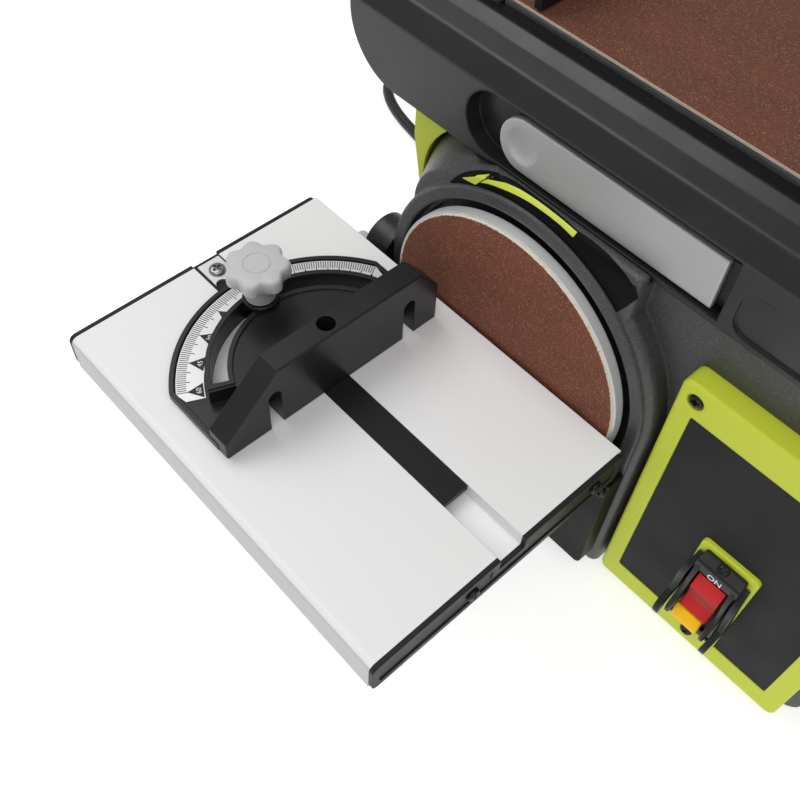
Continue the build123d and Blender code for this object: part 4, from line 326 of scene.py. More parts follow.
def along_table(table, at):
    """Read a table of rising places and their values, straight between its rows."""
    for (low, first), (high, second) in zip(table, table[1:]):
        if at <= high:
            return first + (second - first) * max(0.0, at - low) / (high - low)
    return table[-1][1]


def sweep_film(bm, lower, upper, steps):
    """A strip of film about the disc's axis between a lower and an upper edge, spun from one cut end."""
    near = bm.verts.new((1.0, 0.0, 0.0))
    far = bm.verts.new((2.0, 0.0, 0.0))
    bmesh.ops.subdivide_edges(bm, edges=[bm.edges.new((near, far))], cuts=9)
    bmesh.ops.spin(
        bm, geom=list(bm.verts) + list(bm.edges), cent=(0, 0, 0), axis=(0, -1, 0),
        angle=math.radians(90.0), steps=steps, use_merge=False,
    )
    for v in bm.verts:
        share = math.degrees(math.atan2(v.co.z, v.co.x)) / 90.0
        side = v.co.length - 1.0
        edges = []
        for table in (lower, upper):
            angle = table[0][0] + share * (table[-1][0] - table[0][0])
            edges.append((along_table(table, angle), angle))
        v.co = polar(*(low + (high - low) * side for low, high in zip(*edges)))


def lay_on_rim(bm, lift):
    """Set a film that was cut flat on the rim: it rolls back over the round and leans on the shoulder."""
    for v in bm.verts:
        flat = Vector((disc_x + v.co.x, rim_y, disc_z + v.co.z))
        laid = flat + Vector((0.0, -lift, 0.0))
        if flat.z > rim_flat_top:
            turn = roll_rate * (flat.z - rim_flat_top) / rim_round
            laid.y = rim_y + rim_round - (rim_round + lift) * math.cos(turn)
            laid.z = rim_flat_top + (rim_round + lift) * math.sin(turn)
            laid.x -= roll_slide * (laid.y + lift - rim_y)
        past = (flat - Vector((shoulder_x, rim_y, shoulder_z))).dot(shoulder_out) - shoulder_reach
        back = past / (draft_rate - draft_slide.dot(shoulder_out))
        if back > laid.y + lift - rim_y:
            outward = (shoulder_out - Vector((0.0, draft_rate, 0.0))).normalized()
            laid = flat + draft_slide * back + outward * lift
        v.co = laid


def thicken(bm, thickness):
    """Give a sheet its thickness on its inner side."""
    bmesh.ops.recalc_face_normals(bm, faces=bm.faces)
    front = sum((f.normal.y * f.calc_area() for f in bm.faces), 0.0)
    if front > 0:
        bmesh.ops.reverse_faces(bm, faces=bm.faces)
    bmesh.ops.solidify(bm, geom=list(bm.faces), thickness=thickness)


label_film = grained(
    "black_vinyl", tint(10, 10, 11), scale=2500.0, mottle=0.1, smooth=0.4, rough=0.52, depth=0.01,
    edge=0.1, shine=0.08,
)
label_inner = [(51.6, 86.1), (122.0, 86.1), (125.5, 86.1)]
label_outer = [
    (53.8, 103.2), (56.0, 105.0), (60.5, 105.4), (65.6, 104.8), (70.2, 102.7), (75.0, 99.6), (81.4, 99.1),
    (88.7, 98.6), (95.5, 99.2), (100.1, 98.8), (106.7, 96.6), (114.2, 93.6), (119.0, 91.3), (125.8, 86.8),
]
strip = bmesh.new()
sweep_film(strip, label_inner, label_outer, steps=110)
lay_on_rim(strip, film_lift)
thicken(strip, film_lift + film_sink)
settle(strip, "rim_label", "base", label_film, "black_plastic")

lime_film = grained(
    "lime_print", tint(200, 212, 64), scale=2500.0, mottle=0.05, smooth=0.35, rough=0.45, depth=0.005,
    edge=0.1,
)
arrow_lower = [
    (75.6, 93.7), (80.0, 93.6), (85.4, 92.9), (91.4, 92.3), (97.6, 91.5), (104.0, 90.5), (110.8, 89.1),
]
arrow_upper = [
    (74.9, 98.1), (78.6, 97.4), (83.2, 96.7), (88.9, 96.2), (94.7, 95.7), (100.1, 94.9), (107.8, 92.3),
]
arrow = bmesh.new()
sweep_film(arrow, arrow_lower, arrow_upper, steps=40)
arrow_head = arrow.faces.new(
    [arrow.verts.new(polar(*corner)) for corner in ((89.3, 118.8), (94.6, 106.6), (87.1, 113.4))]
)
bmesh.ops.subdivide_edges(arrow, edges=list(arrow_head.edges), cuts=8, use_grid_fill=True)
lay_on_rim(arrow, film_lift + arrow_sheet)
thicken(arrow, arrow_sheet)
settle(arrow, "turning_arrow", "base", lime_film, "green_plastic")

# Base: a pressed steel closing plate with vent slots under the casting, screwed up from below,
# and four moulded rubber feet round the bench bolt holes.
zinc_sheet = grained(
    "zinc_sheet", tint(150, 152, 154), scale=900.0, mottle=0.25, smooth=0.3, rough=0.45, depth=0.01,
    metallic=0.9,
)
dress(zinc_sheet, "base_plate")
foot_rubber = grained(
    "foot_rubber", tint(28, 28, 29), scale=1800.0, mottle=0.2, smooth=0.7, rough=0.9, depth=0.04,
)
dress(foot_rubber, "rubber_feet")

# Motor line: an induction motor in the housing, its shaft carrying the fan, the pulley and the disc.
# Cast alloy end bells and can, ground steel shaft and bearings, blued core stampings, moulded fan.
cast_alloy = grained(
    "cast_alloy", tint(168, 170, 172), scale=700.0, mottle=0.18, smooth=0.35, rough=0.55, depth=0.05,
    metallic=0.85,
)
dress(cast_alloy, "motor_can", "motor_end_bells", "motor_pulley", "drum_pulley")
ground_steel = grained(
    "ground_steel", tint(188, 190, 193), scale=2600.0, mottle=0.12, smooth=0.18, rough=0.3, depth=0.005,
    metallic=1.0,
)
dress(
    ground_steel, "motor_shaft", "motor_bearings", "drum_shaft", "drum_bearings", "idler_axle", "hinge_pins"
)
core_steel = grained(
    "core_stampings", tint(74, 80, 92), scale=1200.0, mottle=0.3, smooth=0.35, rough=0.5, depth=0.02,
    metallic=0.8,
)
dress(core_steel, "motor_stator", "rotor")
belt_rubber = grained(
    "drive_belt_rubber", tint(24, 24, 25), scale=2000.0, mottle=0.2, smooth=0.6, rough=0.8, depth=0.05,
)
dress(belt_rubber, "drive_belt")

# Disc: a turned aluminium plate on the motor's shaft with a red-brown abrasive paper stuck on its face.
# The paper's cut edge is ragged and shows its whitish backing; the plate's rim keeps its lathe lines.


def from_axis(tree, x, z):
    """Distance of a point from a cross axis along Y, in metres."""
    offset = reckon(tree, "ADD", place_in(tree), (-x * mm, 0.0, -z * mm), kind="VectorMath")
    flat = reckon(tree, "MULTIPLY", offset, (1.0, 0.0, 1.0), kind="VectorMath")
    return put(tree, "VectorMath", {0: flat}, operation="LENGTH").outputs["Value"]


def abrasive(name, ground, dark, pale, scale, depth, glints):
    """Bonded grit: a ground colour with dark and pale grains standing in it."""
    finish, tree, shader = new_finish(name, ground, roughness=0.85)
    cells = scatter(tree, scale, share=0.5)
    bright = scatter(tree, 0.8 * scale, glints)
    clouds = put(tree, "TexNoise", {"Vector": place_in(tree), "Scale": 60.0, "Detail": 3.0})
    coat = put(
        tree, "Group",
        {"Vector": place_in(tree), "Colour": ground, "Scale": 700.0, "Mottle": 0.35},
        node_tree=grain,
    )
    dim = reckon(tree, "MULTIPLY", cells["Mask"], clouds.outputs["Fac"])
    colour = mixed(tree, bright["Mask"], mixed(tree, dim, coat.outputs["Colour"], dark), pale)
    tree.links.new(colour, shader.inputs["Base Color"])
    rough = put(tree, "MapRange", {"Value": cells["Shade"], "To Min": 0.6, "To Max": 0.95})
    tree.links.new(rough.outputs[0], shader.inputs["Roughness"])
    bump = put(tree, "Bump", {"Height": cells["Shade"], "Strength": 1.0, "Distance": depth * mm})
    tree.links.new(bump.outputs["Normal"], shader.inputs["Normal"])
    return finish


def pull_out(bm, faces, way):
    """Pull faces out into a solid; returns the points that moved."""
    grown = bmesh.ops.extrude_face_region(bm, geom=faces)
    moved = [v for v in grown["geom"] if isinstance(v, bmesh.types.BMVert)]
    bmesh.ops.translate(bm, vec=way, verts=moved)
    return moved


disc_paper = abrasive(
    "disc_abrasive", tint(129, 74, 50), dark=tint(76, 40, 28), pale=tint(166, 112, 84), scale=2500.0,
    depth=0.1, glints=0.06,
)
paper_tree = disc_paper.node_tree
paper_reach = 73.4
paper_face = -83.0
paper_sheet = 1.0
fray_depth = 1.5
backing_from = 0.15
backing_to = 0.55
paper_rag = put(paper_tree, "TexNoise", {"Vector": place_in(paper_tree), "Scale": 900.0, "Detail": 3.0})
paper_fray = reckon(
    paper_tree, "MULTIPLY_ADD", paper_rag.outputs["Fac"], fray_depth * mm,
    from_axis(paper_tree, disc_x, disc_z),
)
paper_edge = rise(paper_tree, paper_fray, paper_reach + backing_from, paper_reach + backing_to)
over(disc_paper, paper_edge, tint(222, 212, 196))
paper = bmesh.new()
bmesh.ops.create_circle(
    paper, cap_ends=True, segments=240, radius=paper_reach,
    matrix=Matrix.Translation((disc_x, paper_face + paper_sheet, disc_z))
    @ Matrix.Rotation(math.radians(90.0), 4, "X"),
)
for count, v in enumerate(paper.verts):
    fray = 0.16 * math.sin(2.9 * count) + 0.12 * math.sin(7.3 * count + 1.0)
    v.co.x += fray * (v.co.x - disc_x) / paper_reach
    v.co.z += fray * (v.co.z - disc_z) / paper_reach
pull_out(paper, list(paper.faces), (0, -paper_sheet, 0))
settle(paper, "abrasive_paper", "disc", disc_paper, "abrasive", "abrasive_disc")

brushed, brushed_has, brushed_gives = skin_group("lathe_and_brush_lines")
brushed_lines = put(
    brushed, "TexNoise",
    {"Vector": brushed_has["Vector"], "Scale": brushed_has["Scale"], "Detail": 5.0, "Roughness": 0.65},
).outputs["Fac"]
brushed_swing = put(
    brushed, "MapRange",
    {"Value": brushed_lines, "From Min": 0.25, "From Max": 0.75, "To Min": -1.0, "To Max": 1.0},
)
close_skin(brushed, brushed_has, brushed_gives, brushed_swing.outputs[0], brushed_lines, brushed_lines)


def lined(name, colour, stretch, mottle, smooth, rough, depth, metallic, edge=0.4, shine=0.5, lines=None):
    """A metal with fine lines: stretch gives lines per metre along X, Y and Z, or lines gives their field."""
    finish, tree, shader = new_finish(name, colour, rough, metallic, shine)
    if lines:
        field = lines(tree)
    else:
        field = reckon(tree, "MULTIPLY", place_in(tree), stretch, kind="VectorMath")
    skin = put(
        tree, "Group",
        {
            "Vector": field, "Colour": colour, "Scale": 1.0, "Mottle": mottle, "Smooth": smooth,
            "Rough": rough,
        },
        node_tree=brushed,
    )
    wear(tree, shader, skin, depth, edge)
    return finish


def lathe_field(tree):
    """Rings about the disc's axis and along it."""
    lines = 2500.0
    reach = from_axis(tree, disc_x, disc_z)
    field = put(tree, "CombineXYZ", {"X": reach, "Y": along(tree, "Y")})
    return reckon(tree, "MULTIPLY", field.outputs[0], (lines, lines, 1.0), kind="VectorMath")


turned_alloy = lined(
    "turned_aluminium", tint(232, 233, 233), stretch=None, mottle=0.08, smooth=0.28, rough=0.42,
    depth=0.01, metallic=0.5, lines=lathe_field,
)
dress(turned_alloy, "disc_plate", "drive_drum", "idler_drum")

# Lower guard: a pressed steel box over the lower half of the disc, painted satin black and held by
# two screws in front. The table's tilt brackets and the work stop are cut from plate and painted alike.
guard_paint = grained(
    "satin_black_paint", tint(20, 20, 20), scale=1500.0, mottle=0.16, smooth=0.4, rough=0.55,
    depth=0.03, edge=0.8, shine=0.15,
)
dress(guard_paint, "lower_guard", "table_brackets", "work_stop")

# Moulded covers: lime nylon shells on the housing's shoulder and over the switch side of the front,
# with a fine spark-eroded skin, and a plain black shell over the pulleys behind.
lime_plastic = grained(
    "lime_nylon", tint(200, 212, 60), scale=2200.0, mottle=0.06, smooth=0.42, rough=0.55, depth=0.02,
    edge=1.2, shine=0.3,
)
dress(lime_plastic, "left_cover", "front_panel")
black_plastic = grained(
    "black_nylon", tint(31, 32, 33), scale=2000.0, mottle=0.14, smooth=0.42, rough=0.58, depth=0.03,
    edge=0.8, shine=0.25,
)
dress(black_plastic, "rear_cover", "table_end_caps", "cooling_fan", "switch_body", "strain_relief")

# Panel inset: a thin die-cut sheet of matte charcoal polycarbonate, let into a shallow step in the
# front panel and stuck down by the adhesive on its back.
inset_film = grained(
    "charcoal_film", tint(38, 38, 40), scale=2600.0, mottle=0.08, smooth=0.45, rough=0.6, depth=0.008,
    edge=0.2, shine=0.12,
)
dress(inset_film, "panel_inset")

# Screws: cold-headed steel with pan heads and a pressed cross recess, finished in black oxide.
# One size holds every cover; a shorter, flatter one holds the switch's hood.
head_radius = 3.6
head_height = 2.4
shank_radius = 2.0


def turned(bm, points, centre, axis, steps, closed=False):
    """Turn a line of points full circle about an axis through a centre."""
    line = [bm.verts.new(point) for point in points]
    edges = [bm.edges.new(pair) for pair in zip(line, line[1:] + line[:1] if closed else line[1:])]
    bmesh.ops.spin(
        bm, geom=line + edges, cent=centre, axis=axis, angle=math.tau, steps=steps, use_merge=True
    )


def facing(point, outward):
    """The placing of a piece drawn along Z: at a point, its top turned outward."""
    turn = Vector((0, 0, 1)).rotation_difference(Vector(outward)).to_matrix().to_4x4()
    return Matrix.Translation(point) @ turn


def add_copy(bm, mesh, matrix):
    """Add a copy of a mesh to a piece, placed."""
    before = len(bm.verts)
    bm.from_mesh(mesh)
    bm.verts.ensure_lookup_table()
    bmesh.ops.transform(bm, matrix=matrix, verts=bm.verts[before:])


def pan_head(radius, height, shank, length):
    """One cross-recessed screw standing on Z = 0: a turned blank with the cross pressed into its head."""
    blank = bmesh.new()
    outline = [
        (0.0, height), (0.66 * radius, 0.95 * height), (0.88 * radius, 0.78 * height),
        (0.98 * radius, 0.5 * height), (radius, 0.12 * height), (0.96 * radius, 0.0), (shank, 0.0),
        (shank, 1.0 - length), (0.4 * shank, -length), (0.0, -length),
    ]
    turned(blank, [(r, 0.0, z) for r, z in outline], (0, 0, 0), (0, 0, 1), steps=24)
    bmesh.ops.remove_doubles(blank, verts=blank.verts, dist=0.001)
    arm = 0.6 * radius
    half = 0.17 * radius
    for way in (Vector((1, 0, 0)), Vector((0, 1, 0))):
        for reach in (-arm, -half, half, arm):
            crown = [f for f in blank.faces if f.calc_center_median().z > 0.9 * height]
            geom = list(dict.fromkeys(crown + [part for f in crown for part in (*f.edges, *f.verts)]))
            bmesh.ops.bisect_plane(blank, geom=geom, dist=0.0001, plane_co=way * reach, plane_no=way)
    cross = []
    for f in blank.faces:
        centre = f.calc_center_median()
        across = sorted((abs(centre.x), abs(centre.y)))
        if centre.z > 0.9 * height and across[0] < half and across[1] < arm:
            cross.append(f)
    floor = pull_out(blank, cross, (0, 0, -0.55 * height))
    bmesh.ops.delete(blank, geom=cross, context="FACES_ONLY")
    bmesh.ops.scale(blank, vec=(0.8, 0.8, 1.0), verts=floor)
    bmesh.ops.recalc_face_normals(blank, faces=blank.faces)
    mesh = bpy.data.meshes.new("screw_blank")
    blank.to_mesh(mesh)
    blank.free()
    return mesh


def drive_screws(bm, blank, seats, first_turn=12.0, turn_apart=37.0):
    """Set copies of a screw on their seats, each given as a point and the way its head faces.
    Every cross is left turned differently."""
    for count, (point, outward) in enumerate(seats):
        spun = Matrix.Rotation(math.radians(turn_apart * count + first_turn), 4, "Z")
        add_copy(bm, blank, facing(point, outward) @ spun)


dark_screw = grained(
    "black_oxide", tint(34, 34, 36), scale=2600.0, mottle=0.2, smooth=0.3, rough=0.45, depth=0.01,
    metallic=0.6, edge=0.2,
)
panel_screws = [((x, -73.0, 178.0), (0, -1, 0)) for x in (37.0, 137.0)]
guard_screws = [((disc_x + side * 82.8, -88.5, 94.0), (0, -1, 0)) for side in (-1, 1)]
bezel_screws = [((87.5, -77.4, 25.0), (0, -1, 0))]
hood_screw = [((86.3, -80.35, 97.8), (0, -0.5, 0.87))]
plate_screws = [((x, y, 3.5), (0, 0, -1)) for x in (-98.0, 98.0) for y in (-39.0, 55.0)]
ear_screws = [((x, 82.5, z), (0, 1, 0)) for x, z in ((-64.6, 177.7), (-102.4, 119.9))]
cover_blank = pan_head(head_radius, head_height, shank_radius, length=18.0)
screws = bmesh.new()
drive_screws(screws, cover_blank, panel_screws + guard_screws + bezel_screws + plate_screws + ear_screws)
drive_screws(screws, pan_head(radius=3.2, height=1.8, shank=shank_radius, length=3.4), hood_screw)
settle(screws, "cover_screw_set", "base", dark_screw, "dark_screw", "cover_screws")

# Switch: a black nylon bezel with a hood on top and two pairs of guard walls, held by two of the screws,
# a red rocking paddle on a cross pin and a yellow pull-out key, all gloss-moulded.
switch_x = 86.3
paddle_axis = (86.5, -74.0, 69.5)


def cut_from_side(bm, outline, middle, width, round_off, spread=((0.0, 0.0), (1.0, 0.0))):
    """A moulded wall: a side outline of y and z points, its width across X, its edges rounded off.
    A spread moves it outwards by an amount read at each height."""
    near = [bm.verts.new((middle - width / 2, y, z)) for y, z in outline]
    far = pull_out(bm, [bm.faces.new(near)], (width, 0, 0))
    for v in near + far:
        v.co.x += along_table(spread, v.co.z)
    faces = dict.fromkeys(f for v in near + far for f in v.link_faces)
    bmesh.ops.recalc_face_normals(bm, faces=list(faces))
    sharp = math.radians(24.0)
    corners = dict.fromkeys(e for f in faces for e in f.edges if e.calc_face_angle(0.0) > sharp)
    bmesh.ops.bevel(
        bm, geom=list(corners), offset=round_off, offset_type="OFFSET", segments=3, profile=0.5,
        affect="EDGES", material=-1, clamp_overlap=True,
    )


switch_black = grained(
    "switch_black", tint(30, 30, 31), scale=2200.0, mottle=0.12, smooth=0.32, rough=0.44, depth=0.015,
    edge=0.4, shine=0.3,
)
wing_outline = [
    (-77.6, 94.8), (-81.0, 91.6), (-84.1, 88.6), (-85.7, 85.4), (-86.2, 82.0), (-85.6, 76.0), (-84.4, 69.0),
    (-84.0, 63.0), (-84.7, 58.6), (-87.2, 55.4), (-90.2, 53.2), (-92.2, 50.4), (-93.2, 46.8), (-92.6, 43.4),
    (-90.8, 42.6), (-88.6, 45.2), (-85.0, 50.0), (-81.0, 53.6), (-77.2, 55.6), (-77.2, 94.0),
]
wing_spread = [(42.0, 14.7), (54.0, 15.5), (64.0, 15.0), (84.0, 14.7), (95.0, 13.2)]
wall_outline = [
    (-77.6, 95.4), (-83.2, 94.8), (-85.0, 91.8), (-86.0, 86.6), (-85.9, 81.0), (-85.5, 76.6),
    (-84.4, 70.0), (-84.1, 64.6), (-85.4, 61.2), (-87.6, 58.6), (-89.4, 55.6), (-90.2, 51.6),
    (-89.8, 46.6), (-88.0, 45.0), (-85.4, 48.6), (-81.0, 52.4), (-77.2, 54.0),
]
wall_spread = [(44.0, 10.8), (64.0, 10.9), (88.0, 10.2)]
hood_outline = [
    (-77.1, 99.4), (-78.8, 99.2), (-83.2, 97.0), (-84.1, 95.8), (-83.9, 89.4), (-77.1, 89.4),
]
bezel = bmesh.new()
cut_from_side(bezel, hood_outline, switch_x, width=24.6, round_off=0.4)
for side in (-1, 1):
    bmesh.ops.bisect_plane(
        bezel, geom=bezel.verts[:] + bezel.edges[:] + bezel.faces[:],
        plane_co=(switch_x + side * 10.6, -80.0, 100.0), plane_no=(side * 0.8, 0.0, 0.6), clear_outer=True,
    )
bmesh.ops.holes_fill(bezel, edges=[e for e in bezel.edges if e.is_boundary], sides=0)
for side in (-1, 1):
    for outline, spread, width in ((wing_outline, wing_spread, 3.4), (wall_outline, wall_spread, 2.8)):
        apart = [(z, side * reach) for z, reach in spread]
        cut_from_side(bezel, outline, switch_x, width, round_off=1.25, spread=apart)
    cut_from_side(
        bezel, [(-77.1, 33.0), (-79.4, 33.0), (-79.4, 90.0), (-77.1, 90.0)], switch_x + side * 11.3,
        width=5.4, round_off=0.4,
    )
cut_from_side(
    bezel, [(-77.1, 31.5), (-79.4, 31.5), (-79.4, 36.5), (-77.1, 36.5)], switch_x, width=27.0, round_off=0.4
)
settle(bezel, "switch_hood", "base", switch_black, "black_plastic", "switch_bezel", crease=40.0)

switch_red = grained(
    "switch_red", tint(196, 26, 26), scale=2200.0, mottle=0.06, smooth=0.34, rough=0.46, depth=0.01,
    edge=0.3, shine=0.2,
)
# The band under the paddle's ridge is painted a darker red as painted shade, deepest under the ridge and
# fading towards its foot.
hollow_top = 74.6
hollow_foot = 61.0
red_tree = switch_red.node_tree
red_height = along(red_tree, "Z")
painted_shade_in_hollow = reckon(
    red_tree, "MULTIPLY", rise(red_tree, red_height, hollow_top, hollow_top - 0.6, most=0.85),
    rise(red_tree, red_height, hollow_foot, hollow_foot + 8.0),
)
over(switch_red, painted_shade_in_hollow, tint(128, 14, 14))
paddle = bmesh.new()
cut_from_side(
    paddle, [
        (-82.3, 86.5), (-82.9, 86.8), (-85.3, 75.8), (-85.4, 75.0), (-84.6, 74.2), (-82.4, 66.0),
        (-81.8, 61.6), (-84.7, 54.4), (-84.2, 53.4), (-78.2, 53.6), (-78.2, 71.0),
    ],
    middle=86.1, width=16.0, round_off=0.45,
)
cut_from_side(
    paddle, [(-78.4, 66.6), (-78.4, 72.4), (-74.0, 72.4), (-71.6, 69.5), (-74.0, 66.6)],
    middle=86.5, width=8.8, round_off=0.5,
)
bmesh.ops.create_cone(
    paddle, cap_ends=True, segments=24, radius1=1.5, radius2=1.5, depth=15.0,
    matrix=Matrix.Translation(paddle_axis) @ Matrix.Rotation(math.radians(90.0), 4, "Y"),
)
settle(paddle, "rocking_paddle", "paddle", switch_red, "red_plastic", "switch_paddle", crease=40.0)

key_yellow = grained(
    "key_yellow", tint(255, 196, 8), scale=2200.0, mottle=0.05, smooth=0.36, rough=0.48, depth=0.01,
    edge=0.3, shine=0.08,
)
key = bmesh.new()
cut_from_side(
    key, [(-80.2, 52.0), (-84.8, 52.4), (-85.2, 44.0), (-85.1, 40.2), (-84.0, 37.2), (-80.2, 36.0)],
    middle=85.0, width=15.6, round_off=0.7,
)
cut_from_side(
    key, [(-80.6, 39.4), (-80.6, 46.2), (-62.6, 46.2), (-62.6, 39.4)], middle=86.5, width=8.8, round_off=0.6
)
settle(key, "pull_out_key", "key", key_yellow, "yellow_plastic", "safety_key", crease=40.0)

white_ink = grained(
    "white_ink", tint(240, 240, 240), scale=2600.0, mottle=0.03, smooth=0.45, rough=0.6, depth=0.002,
    edge=0.05,
)


def print_word(bm, word, size, depth, matrix):
    """Print a word: its letters as thin solids, laid at a place."""
    letters = bpy.data.curves.new("print", "FONT")
    letters.body = word
    letters.size = size
    letters.align_x = "CENTER"
    letters.align_y = "CENTER"
    letters.extrude = depth / 2
    letters.resolution_u = 4
    holder = bpy.data.objects.new("print", letters)
    scene.collection.objects.link(holder)
    bpy.context.view_layer.update()
    mesh = bpy.data.meshes.new_from_object(holder.evaluated_get(bpy.context.evaluated_depsgraph_get()))
    add_copy(bm, mesh, matrix)
    bpy.data.objects.remove(holder)
    bpy.data.curves.remove(letters)
    bpy.data.meshes.remove(mesh)


hood_print = bmesh.new()
print_word(
    hood_print, "ON", size=5.2, depth=0.16,
    matrix=Matrix.Translation((86.0, -84.12, 91.4)) @ Matrix.Rotation(math.radians(90.0), 4, "X"),
)
settle(hood_print, "switch_on_print", "base", white_ink, "nickel")

# Belt arm: a welded steel beam between two side plates, a ground platen, a folded sheet cover below
# and a satin black moulding in front that hides the tension gear.
arm_plastic = grained(
    "arm_moulding", tint(30, 31, 32), scale=1900.0, mottle=0.12, smooth=0.27, rough=0.38, depth=0.02,
    edge=1.4, shine=0.45,
)
dress(arm_plastic, "arm_front_cover")
dress(guard_paint, "arm_beam", "front_side_plate", "rear_side_plate", "arm_lower_cover")
platen_steel = lined(
    "ground_platen", tint(180, 182, 184), stretch=(40.0, 2200.0, 2200.0), mottle=0.12, smooth=0.25,
    rough=0.4, depth=0.006, metallic=0.95,
)
dress(platen_steel, "platen")
stop_blank = pan_head(head_radius, head_height, shank_radius, length=6.7)
arm_set = bmesh.new()
drive_screws(arm_set, cover_blank, [((x, -43.5, 233.5), (0, -1, 0)) for x in (-121.0, -21.0, 56.8, 156.8)])
drive_screws(arm_set, stop_blank, [((x, 73.5, 259.0), (0, 1, 0)) for x in (-100.0, -86.0)])
settle(arm_set, "arm_screw_set", "arm", dark_screw, "dark_screw", "arm_screws")

# Sanding belt: a spliced cloth loop coated with red-brown aluminium oxide, its pale backing showing at
# the cut edges. Nothing fixes it but the pull between the two drums.
belt_grit = abrasive(
    "belt_abrasive", tint(108, 63, 43), dark=tint(70, 38, 26), pale=tint(140, 94, 68), scale=2500.0,
    depth=0.1, glints=0.06,
)
belt_middle = 13.3
belt_edge_from = 50.35
belt_edge_to = 50.75
grit_tree = belt_grit.node_tree
belt_off_middle = reckon(grit_tree, "SUBTRACT", along(grit_tree, "Y"), belt_middle * mm)
belt_reach = reckon(grit_tree, "ABSOLUTE", belt_off_middle)
over(belt_grit, rise(grit_tree, belt_reach, belt_edge_from, belt_edge_to), tint(196, 178, 158))
dress(belt_grit, "sanding_belt")

# Tension gear: a pressed steel lever with a thumb dimple, satin nickel plated, and painted near black behind
# its front sheet as painted shade; it is hinged in a pocket of the arm's front moulding over a ground rod and
# its spring.


def satin_nickel(name, edge):
    """The lever's plating, over edges rounded by a small radius."""
    return lined(
        name, tint(180, 180, 180), stretch=(60.0, 1800.0, 1800.0), mottle=0.04, smooth=0.26, rough=0.36,
        depth=0.003, metallic=0.3, edge=edge,
    )


lever_nickel = satin_nickel("satin_nickel", edge=0.9)
lever_tree = lever_nickel.node_tree
# Every part of the lever behind its front sheet is painted near black as painted shade.
lever_skin_y = -62.2
lever_painted_shade = rise(lever_tree, along(lever_tree, "Y"), lever_skin_y, lever_skin_y + 0.3)
over(lever_nickel, lever_painted_shade, tint(16, 16, 17))
dress(lever_nickel, "tension_lever")
dress(ground_steel, "tension_rod")
bowl_nickel = satin_nickel("bowl_nickel", edge=0.02)
bowl_x = -84.9
bowl_z = 231.9
bowl = bmesh.new()
bowl_outline = [
    (0.0, -64.08), (2.0, -64.1), (4.0, -64.2), (6.0, -64.42), (7.5, -64.68), (8.6, -64.91), (9.3, -65.01),
    (9.9, -65.03), (12.4, -65.03), (12.4, -65.01), (10.8, -65.01), (10.8, -64.02), (0.0, -64.02),
]
turned(bowl, [(bowl_x + r, y, bowl_z) for r, y in bowl_outline], (bowl_x, 0, bowl_z), (0, 1, 0), steps=48)
settle(bowl, "lever_thumb_bowl", "lever", bowl_nickel, "nickel", crease=60.0)
spring_steel = grained(
    "spring_steel", tint(120, 122, 126), scale=1500.0, mottle=0.2, smooth=0.25, rough=0.4, depth=0.01,
    metallic=0.9,
)
dress(spring_steel, "tension_spring")

# Hand knobs: light grey glass-filled nylon moulded on a steel stud, lobed for the fingers.
# The table's two have seven lobes; the arm's tracking and lock knobs have six.
knob_grey = grained(
    "grey_nylon", tint(196, 196, 196), scale=1800.0, mottle=0.05, smooth=0.4, rough=0.55, depth=0.02,
    edge=0.4,
)


def lobed_rings(bm, rings, lobes, segments):
    """Raise a knob ring by ring from its stud: each ring is its height, its radius and its lobes' depth."""
    loop = None
    for height, radius, lobe in rings:
        if loop is None:
            made = bmesh.ops.create_circle(bm, cap_ends=False, segments=segments, radius=1.0)
            loop = made["verts"]
        else:
            edges = [e for e in bm.edges if all(v in fresh for v in e.verts)]
            grown = bmesh.ops.extrude_edge_only(bm, edges=edges)
            loop = [v for v in grown["geom"] if isinstance(v, bmesh.types.BMVert)]
        for v in loop:
            angle = math.atan2(v.co.y, v.co.x)
            valley = (0.5 - 0.5 * math.cos(lobes * angle)) ** 1.25
            reach = radius - lobe * valley
            v.co = (reach * math.cos(angle), reach * math.sin(angle), height)
        fresh = set(loop)
    bmesh.ops.holes_fill(bm, edges=[e for e in bm.edges if e.is_boundary], sides=0)


def knob_rings(stud, stud_from, collar, collar_from, head_from, head_to, radius, lobe):
    """The turned outline of a knob: stud, collar, rounded lobed head with a faint ring on its top."""
    return [
        (stud_from, stud, 0.0), (collar_from, stud, 0.0), (collar_from, 0.9 * collar, 0.0),
        (collar_from + 0.6, collar, 0.0), (head_from - 1.2, 1.02 * collar, 0.0),
        (head_from + 0.4, 1.1 * collar, 0.0), (head_from + 3.6, 0.8 * radius, 0.6 * lobe),
        (head_from + 4.1, 0.94 * radius, 0.9 * lobe), (head_from + 5.0, radius, lobe),
        (head_to - 2.2, radius, lobe), (head_to - 1.0, 0.97 * radius, lobe),
        (head_to - 0.3, 0.925 * radius, 0.97 * lobe), (head_to, 0.87 * radius, 0.93 * lobe),
        (head_to, 0.43 * radius, 0.0), (head_to - 0.35, 0.415 * radius, 0.0),
        (head_to - 0.35, 0.395 * radius, 0.0), (head_to, 0.38 * radius, 0.0), (head_to, 0.03 * radius, 0.0),
    ]


def hand_knob(name, body, node, seat, outward, lobes, **outline):
    """A lobed knob set on its seat, standing for its CAD piece."""
    bm = bmesh.new()
    lobed_rings(bm, knob_rings(**outline), lobes, segments=16 * lobes)
    bmesh.ops.transform(bm, matrix=facing(seat, outward), verts=bm.verts)
    settle(bm, name, body, knob_grey, "grey_plastic", node, crease=40.0)


